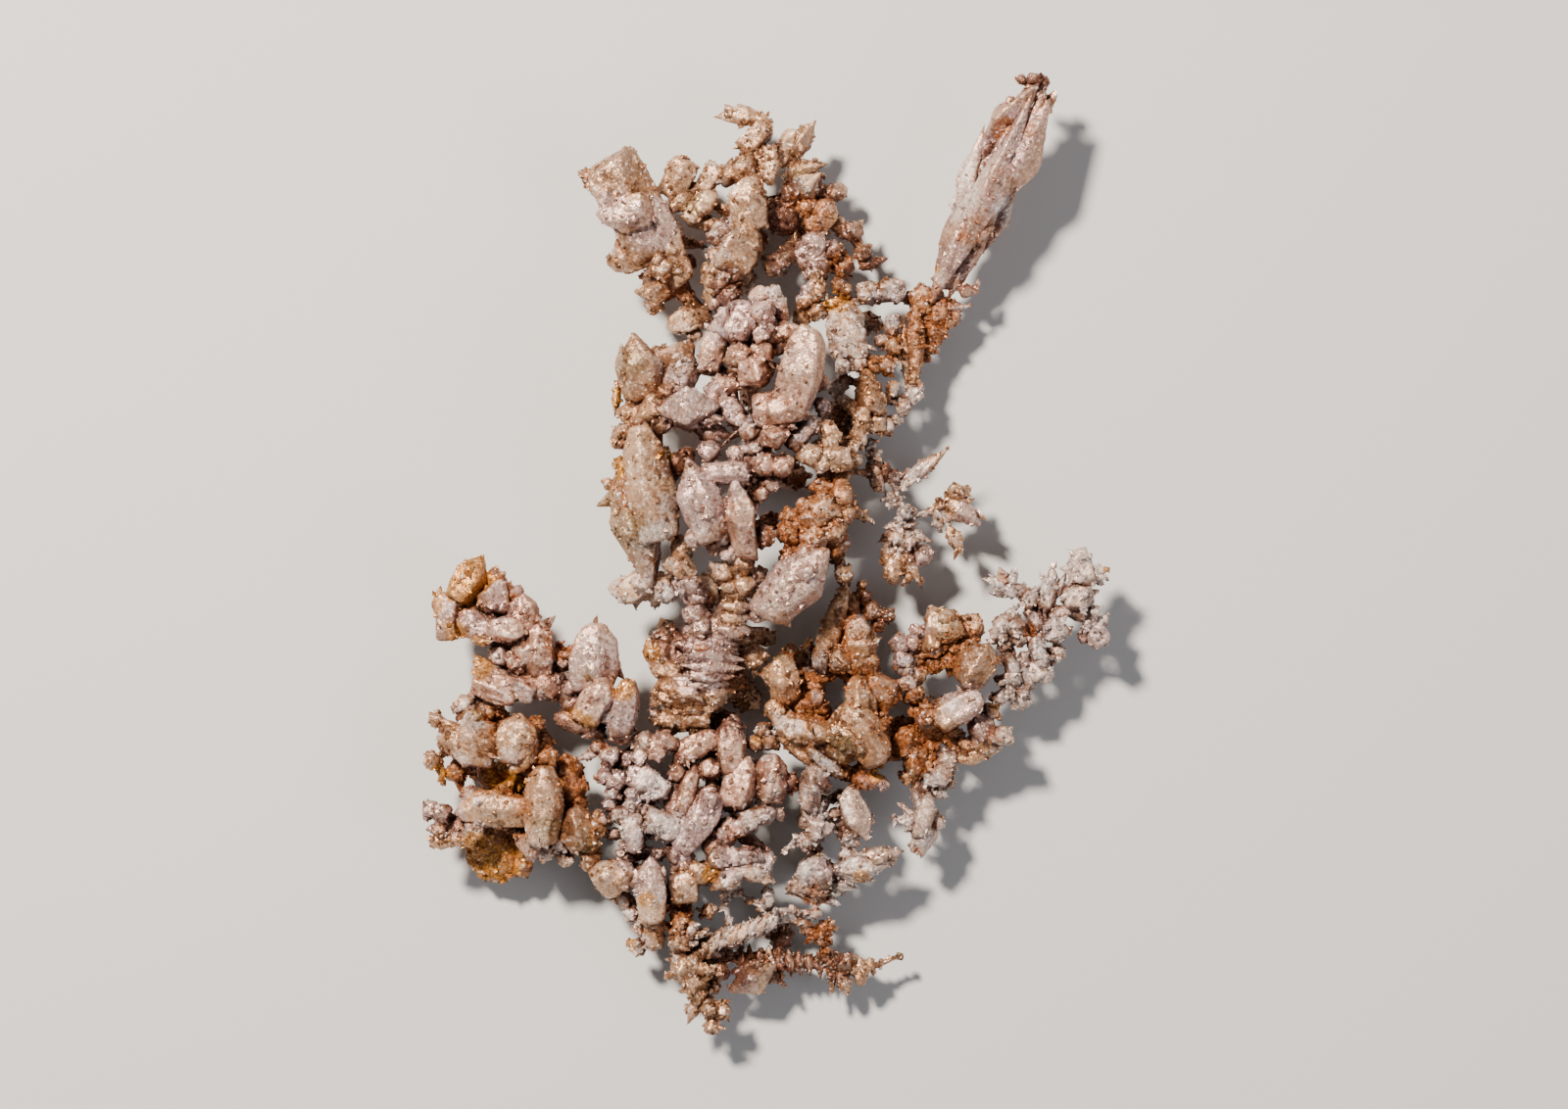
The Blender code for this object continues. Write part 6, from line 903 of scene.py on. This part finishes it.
def branch(node, table):
    """The finished mesh of one branch, as an object, with each corner's tone and how bulky its crystal is."""
    dice = np.random.default_rng(sum(map(ord, node.name)))
    bodies = bodies_of(table, dice)
    core = core_of(node)
    parts = [core + (0.3, 0.0, True)]
    for body in bodies:
        bulk = min(1.0, body["width"] / 5)
        parts.append((body["corners"], body["faces"], body["tone"], bulk, body["smooth"]))
    for corners, faces, each in grains_of(bodies, core, table, dice):
        tones = np.repeat(dice.uniform(size=len(corners) // each), each)
        parts.append((corners, faces, tones, 0.0, False))

    corners = np.concatenate([part[0] for part in parts])
    firsts = np.cumsum([0] + [len(part[0]) for part in parts[:-1]])
    faces = np.concatenate([part[1] + first for part, first in zip(parts, firsts)])
    tones = np.concatenate([np.zeros(len(part[0])) + part[2] for part in parts])
    bulk = np.concatenate([np.full(len(part[0]), part[3]) for part in parts])
    smooth = np.concatenate([np.full(len(part[1]), part[4]) for part in parts])

    mesh = bpy.data.meshes.new(node.name + "_skin")
    mesh.vertices.add(len(corners))
    mesh.vertices.foreach_set("co", (corners * MM).ravel())
    mesh.loops.add(len(faces) * 3)
    mesh.loops.foreach_set("vertex_index", faces.ravel().astype(np.int32))
    mesh.polygons.add(len(faces))
    mesh.polygons.foreach_set("loop_start", np.arange(len(faces), dtype=np.int32) * 3)
    mesh.polygons.foreach_set("use_smooth", smooth)
    mesh.update(calc_edges=True)
    mesh.validate()
    piece = bpy.data.objects.new(node.name + "_skin", mesh)
    bpy.context.scene.collection.objects.link(piece)
    return piece, tones, bulk


def texture(kind, size, **settings):
    """A texture with features of a size in millimetres."""
    made = bpy.data.textures.new(kind, kind)
    made.noise_scale = size * MM
    for key, value in settings.items():
        setattr(made, key, value)
    return made


# The relief of every surface, from coarse to fine: a texture, and its height in mm
RELIEF = (
    (texture("CLOUDS", 2.8, noise_depth=1), 0.45),
    (texture("CLOUDS", 1.6, noise_depth=2), 0.3),
    (texture("VORONOI", 0.6), 0.16),
)
SMOOTH_RELIEF = 0.2  # mm, the coarse relief of a smooth branch


def roughened(piece, smooth):
    """Adds the relief all over a piece."""
    for k, (made, height) in enumerate(RELIEF):
        push = piece.modifiers.new(made.name, "DISPLACE")
        push.texture = made
        push.texture_coords = "LOCAL"
        push.strength = (SMOOTH_RELIEF if smooth and k == 0 else height) * MM
        push.mid_level = 0.5


def settled(piece):
    """Applies the modifiers, and keeps everything within the solids' own box."""
    held = piece.evaluated_get(bpy.context.evaluated_depsgraph_get())
    mesh = bpy.data.meshes.new_from_object(held)
    piece.modifiers.clear()
    piece.data = mesh
    low, high = np.array(model_box[0]), np.array(model_box[1])
    places = np.clip(read(mesh, "co"), low, high)
    mesh.vertices.foreach_set("co", places.ravel())
    mesh.update()


# ---------------------------------------------------------------- where the stains lie, and how sheltered each place is, for the painted shade

def filled_cells(points):
    """A grid of the cells that copper lies in, and its lowest corner."""
    low = points.min(axis=0) - GRID_MARGIN
    size = np.ceil((points.max(axis=0) + GRID_MARGIN - low) / CELL).astype(int)
    grid = np.zeros(size, bool)
    cells = np.floor((points - low) / CELL).astype(int)
    grid[tuple(cells.T)] = True
    return grid, low


def shelter(grid, low, places, normals):
    """From 0 in the open to 1 deep in a hollow, by what stands around each place."""
    shut, seen = np.zeros(len(places)), np.zeros(len(places))
    for k in range(LOOK_WAYS):
        way = direction(k, LOOK_WAYS, k * EVEN_TURN)
        facing_it = normals @ way
        facing_it = np.where(facing_it > LOOK_SLANT, facing_it, 0)
        stopped = np.zeros(len(places), bool)
        for step in LOOK_STEPS:
            cells = np.floor((places + way * step - low) / CELL).astype(int)
            cells = np.clip(cells, 0, np.array(grid.shape) - 1)
            stopped |= grid[cells[:, 0], cells[:, 1], cells[:, 2]]
        shut += facing_it * stopped
        seen += facing_it
    return shut / np.maximum(seen, 1e-6)


def stain_strength(kind, places):
    """From 0 to 1 at each place, for one kind of stain."""
    most = np.zeros(len(places))
    for x, y, reach in STAINS[kind]:
        away = ((places[:, 0] - x) ** 2 + (places[:, 1] - y) ** 2) / reach**2
        most = np.maximum(most, np.clip(1.25 - away * 0.6, 0, 1))
    return most


def write_colour(mesh, name, *channels):
    """Three values at every corner, as a colour attribute."""
    made = mesh.color_attributes.new(name, "FLOAT_COLOR", "POINT")
    values = np.stack(channels + (np.ones_like(channels[0]),), axis=1).astype(np.float32)
    made.data.foreach_set("color", values.ravel())


def lay_stains(made):
    """Writes onto every corner how strong each stain is, how deep in a hollow it lies, and its tone."""
    grid, low = filled_cells(np.concatenate([read(row[0].data, "co") / MM for row in made]))
    bottom, top = RUST_FROM_BELOW
    for piece, table, tones, bulk in made:
        places = read(piece.data, "co") / MM
        hollow = shelter(grid, low, places, read(piece.data, "normal")) * table.get("hollows", 1.0)
        strength = {kind: stain_strength(kind, places) for kind in STAINS}
        low_down = np.clip((top - places[:, 2]) / (top - bottom), 0, 1)
        on_faces = MORE_ON_FACES if table.get("smooth") else 0.0
        strength["rust"] *= 0.5 + on_faces + 0.75 * hollow + 0.4 * low_down - 0.12 * bulk
        strength["film"] *= 1.0 + on_faces - 0.3 * bulk - 0.3 * hollow
        write_colour(piece.data, "film_lilac_hollow", strength["film"], strength["lilac"], hollow)
        write_colour(piece.data, "rust_ochre_maroon", strength["rust"], strength["ochre"], strength["maroon"])
        write_colour(piece.data, "olive_tone_bulk", strength["olive"], tones, bulk)


# ---------------------------------------------------------------- materials

def srgb(code, alpha=1.0):
    """An sRGB hex colour as linear values."""
    values = [int(code[k:k + 2], 16) / 255 for k in (0, 2, 4)]
    return [v / 12.92 if v <= 0.04045 else ((v + 0.055) / 1.055) ** 2.4 for v in values] + [alpha]


def add(tree, kind, inputs=(), stops=(), **settings):
    """Adds a node and gives its outputs.

    Inputs go by place or by name. Another node's output is linked, and anything else is the input's value.
    Stops are a colour ramp's, as (place, hex colour).
    """
    node = tree.nodes.new("ShaderNode" + kind)
    for key, value in settings.items():
        setattr(node, key, value)
    for key, value in inputs.items() if isinstance(inputs, dict) else enumerate(inputs):
        if isinstance(value, bpy.types.NodeSocket):
            tree.links.new(value, node.inputs[key])
        else:
            node.inputs[key].default_value = value
    for k, (place, code) in enumerate(stops):
        stop = node.color_ramp.elements[k] if k < 2 else node.color_ramp.elements.new(place)
        stop.position = place
        stop.color = srgb(code)
    return node.outputs


SMOOTH = {"interpolation_type": "SMOOTHSTEP"}


def native_copper(name, shades):
    """Native copper as it grew: satin metal under thin oxide, in grains that glint one by one, with painted
    shade in its hollows and pits and painted highlights on its open places and glints.
    """
    made = bpy.data.materials.new(name)
    made.use_nodes = True
    tree = made.node_tree
    shader = tree.nodes["Principled BSDF"]
    place = add(tree, "TexCoord")["Object"]
    mm = add(tree, "VectorMath", {0: place, "Scale": 1 / MM}, operation="SCALE")[0]
    # drifts of tarnish, blotches and the fine grain, by their size in mm, detail and roughness
    broad, mid, fine = (
        add(tree, "TexNoise", {"Vector": mm, "Scale": 1 / size, "Detail": detail, "Roughness": rough})["Fac"]
        for size, detail, rough in ((5.0, 3.0, 0.6), (1.5, 4.0, 0.65), (0.45, 3.0, 0.7)))
    # grains of 0.75 mm and, between them, specks of 0.4 mm, as coarse as they need to be to show
    grain, speck = (add(tree, "TexVoronoi", {"Vector": mm, "Scale": 1 / size}) for size in (0.75, 0.4))
    grain_tone = add(tree, "SeparateColor", (grain["Color"],))[0]
    speck_tone = add(tree, "SeparateColor", (speck["Color"],))[1]
    (film, lilac, hollow), (rust, ochre, maroon), (olive, crystal_tone, bulk) = (
        add(tree, "SeparateColor", (add(tree, "Attribute", attribute_name=written)["Color"],))
        for written in ("film_lilac_hollow", "rust_ochre_maroon", "olive_tone_bulk"))

    def patchy(strength, own, start, end, most):
        """A stain's mask: ragged by noise, and different from one crystal to the next."""
        ragged = add(tree, "Math", (mid, 1.3, strength), operation="MULTIPLY_ADD")[0]
        turned = add(tree, "Math", (crystal_tone, own), operation="MULTIPLY")[0]
        each = add(tree, "Math", (turned,), operation="FRACT")[0]
        moved = add(tree, "Math", (each, 0.55, ragged), operation="MULTIPLY_ADD")[0]
        level = (1.3 + 0.55) / 2
        return add(tree, "MapRange", (moved, start + level, end + level, 0.0, most), **SMOOTH)[0]

    wave = 0.0
    for source, share in ((mid, 0.4), (broad, 0.2), (fine, 0.2), (crystal_tone, 0.14)):
        wave = add(tree, "Math", (source, share, wave), operation="MULTIPLY_ADD")[0]
    colour = add(tree, "ValToRGB", (wave,), zip((0.34, 0.44, 0.54, 0.66), shades))["Color"]

    # how deep in a hollow, with a ragged edge
    around = add(tree, "Math", (mid, 0.5, hollow), operation="MULTIPLY_ADD")[0]
    around = add(tree, "Math", (around, 0.25), operation="SUBTRACT")[0]
    # painted shade: dark specks in a tenth of the small cells, for the shade in little pits
    pit_shade = add(tree, "Math", (speck_tone, 0.1), operation="LESS_THAN")[0]
    pit_shade = add(tree, "Math", (pit_shade, 0.55), operation="MULTIPLY")[0]
    # painted highlight: the open places, out of the hollows, are made paler
    painted_open_highlight = add(tree, "MapRange", (around, 0.2, -0.12, 0.0, 0.35), **SMOOTH)[0]
    # painted shade: the hollows are made dark brown, and the deepest of them near black
    hollow_shade = add(tree, "MapRange", (around, 0.34, 0.9, 0.0, 0.74), **SMOOTH)[0]
    deep = add(tree, "MapRange", (around, 0.7, 1.08, 0.0, 0.92), **SMOOTH)[0]
    glint = add(tree, "Math", (speck_tone, 0.88), operation="GREATER_THAN")[0]
    for gate in ((around, 0.75, 0.35), (mid, 0.48, 0.6)):
        opened = add(tree, "MapRange", gate, **SMOOTH)[0]
        glint = add(tree, "Math", (glint, opened), operation="MULTIPLY")[0]
    # painted highlight: pale specks laid into the colour where the glints are
    painted_glint = add(tree, "Math", (glint, 0.8), operation="MULTIPLY")[0]

    # what is laid over the metal's colour, from the lowest up, and each one's colours from the dark of the
    # grain to the light: tarnish, film, oxide and stains, and among them painted shade in pits and hollows, a
    # painted highlight on open places and painted glints
    for where, stops in (
        (patchy(lilac, 3.7, 0.3, 0.95, 0.62), ((0.3, "94746e"), (0.5, "ba9c98"), (0.7, "e2cccb"))),
        (patchy(olive, 5.3, 0.4, 1.05, 0.55), ((0.35, "5a4a2c"), (0.6, "9a865c"))),
        (patchy(film, 9.7, 0.38, 1.1, 0.6), ((0.3, "948d8b"), (0.5, "c0bab8"), (0.68, "ece6e2"))),
        (patchy(maroon, 7.9, 0.36, 0.95, 0.78), ((0.3, "2a110d"), (0.5, "532821"), (0.7, "844838"))),
        (pit_shade, ((0.3, "3a2016"), (0.7, "5c3a26"))),
        (painted_open_highlight, ((0.3, "c69c7c"), (0.7, "f6dec8"))),
        (hollow_shade, ((0.3, "3c1c10"), (0.5, "6e3c22"), (0.7, "96603e"))),
        (deep, ((0.3, "120705"), (0.55, "2c130d"), (0.75, "57280f"))),
        (patchy(rust, 4.1, 0.24, 0.85, 0.8),
         ((0.3, "321206"), (0.43, "68300d"), (0.56, "9a541c"), (0.72, "d09854"))),
        (patchy(ochre, 6.1, 0.45, 0.92, 0.76), ((0.3, "5a3210"), (0.5, "b0701e"), (0.7, "dea445"))),
        (painted_glint, ((0.3, "e6c8b8"), (0.6, "fff4ec"))),
    ):
        over = add(tree, "ValToRGB", (fine,), stops)["Color"]
        colour = add(tree, "Mix", {"Factor": where, 6: colour, 7: over}, data_type="RGBA")[2]
    tree.links.new(colour, shader.inputs["Base Color"])

    # film and rust are duller than bare copper, loose grains and glints brighter
    covered = add(tree, "Math", (film, rust), operation="MAXIMUM")[0]
    grainy = add(tree, "MapRange", (bulk, 0.05, 0.35, 1.0, 0.0), **SMOOTH)[0]
    rough = add(tree, "MapRange", (grain_tone, 0.0, 1.0, 0.22, 0.46), **SMOOTH)[0]
    for source, share in ((deep, 0.3), (glint, -0.2), (grainy, -0.08), (covered, 0.12)):
        rough = add(tree, "Math", (source, share, rough), operation="MULTIPLY_ADD")[0]
    tree.links.new(rough, shader.inputs["Roughness"])
    metal = add(tree, "MapRange", (covered, 0.2, 0.9, 0.6, 0.25), **SMOOTH)[0]
    for source, share in ((grainy, 0.15), (glint, -0.3)):
        metal = add(tree, "Math", (source, share, metal), operation="MULTIPLY_ADD")[0]
    tree.links.new(metal, shader.inputs["Metallic"])

    # each grain's face leans its own way, so some catch the light and most don't
    height = add(tree, "Math", (fine, 0.3), operation="MULTIPLY")[0]
    for cells, share in ((grain, 0.9), (speck, 0.7)):
        off = add(tree, "VectorMath", (mm, cells["Position"]), operation="SUBTRACT")[0]
        lean = add(tree, "VectorMath", (cells["Color"], (0.5, 0.5, 0.5)), operation="SUBTRACT")[0]
        rise = add(tree, "VectorMath", (off, lean), operation="DOT_PRODUCT")["Value"]
        height = add(tree, "Math", (rise, share, height), operation="MULTIPLY_ADD")[0]
    bump = add(tree, "Bump", {"Strength": 0.9, "Distance": 0.5 * MM, "Height": height})[0]
    tree.links.new(bump, shader.inputs["Normal"])
    return made


MATERIALS = {
    "tan": native_copper("native_copper_tan_oxide", ("664028", "9d714f", "cca27f", "f2d8be")),
    "pink": native_copper("native_copper_pink_bare", ("744838", "ab7e66", "d8ab92", "f6dac8")),
    "rust": native_copper("native_copper_rust_stained", ("603820", "966844", "c4946c", "ecc49c")),
    "grey": native_copper("native_copper_grey_filmed", ("6a4c3e", "a38370", "d0b09c", "f4dfd0")),
}


def floor_material():
    """Plain pale paper: matt, without a pattern."""
    made = bpy.data.materials.new("plain_paper")
    made.use_nodes = True
    shader = made.node_tree.nodes["Principled BSDF"]
    shader.inputs["Base Color"].default_value = srgb("c6c4c1")
    shader.inputs["Roughness"].default_value = 0.9
    shader.inputs["Specular IOR Level"].default_value = 0.2
    return made


# ---------------------------------------------------------------- camera, floor and light

def set_camera():
    """Straight down on the specimen."""
    data = bpy.data.cameras.new("camera")
    data.lens = LENS
    data.sensor_width = SENSOR
    distance = IMAGE[0] * PIXEL / SENSOR * LENS
    camera = bpy.data.objects.new("camera", data)
    x = (IMAGE[0] / 2 - MIDDLE_PIXEL[0]) * PIXEL
    y = (MIDDLE_PIXEL[1] - IMAGE[1] / 2) * PIXEL
    camera.location = (x * MM, y * MM, (distance + MIDDLE_HEIGHT) * MM)
    data.clip_start = 0.01
    data.clip_end = 20
    bpy.context.scene.collection.objects.link(camera)
    bpy.context.scene.camera = camera


def set_floor():
    mesh = bpy.data.meshes.new("floor")
    reach = 3.0
    mesh.from_pydata([(-reach, -reach, 0), (reach, -reach, 0), (reach, reach, 0), (-reach, reach, 0)], [],
                     [(0, 1, 2, 3)])
    floor = bpy.data.objects.new("floor", mesh)
    floor.location.z = -0.05 * MM
    mesh.materials.append(floor_material())
    bpy.context.scene.collection.objects.link(floor)


def set_light(name, place, size, power, colour):
    data = bpy.data.lights.new(name, "AREA")
    data.shape = "DISK"
    data.size = size
    data.energy = power
    data.color = srgb(colour)[:3]
    light = bpy.data.objects.new(name, data)
    light.location = place
    light.rotation_euler = Vector(place).to_track_quat("Z", "Y").to_euler()
    bpy.context.scene.collection.objects.link(light)


def set_world():
    world = bpy.data.worlds.new("studio")
    world.use_nodes = True
    sky = world.node_tree.nodes["Background"]
    sky.inputs["Color"].default_value = srgb("e6e8ec")
    sky.inputs["Strength"].default_value = 0.3
    bpy.context.scene.world = world


set_camera()
set_floor()
set_world()
set_light("key", (-0.35, 0.42, 0.75), 0.12, 27, "fff4e8")
set_light("fill", (0.7, -0.4, 0.7), 0.6, 3, "eef2ff")

made = []
for name, table in BRANCHES.items():
    piece, tones, bulk = branch(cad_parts[name], table)
    roughened(piece, "smooth" in table)
    settled(piece)
    piece.data.materials.clear()
    piece.data.materials.append(MATERIALS[table["look"]])
    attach(piece, "root")
    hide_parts(name)
    made.append((piece, table, tones, bulk))
lay_stains(made)
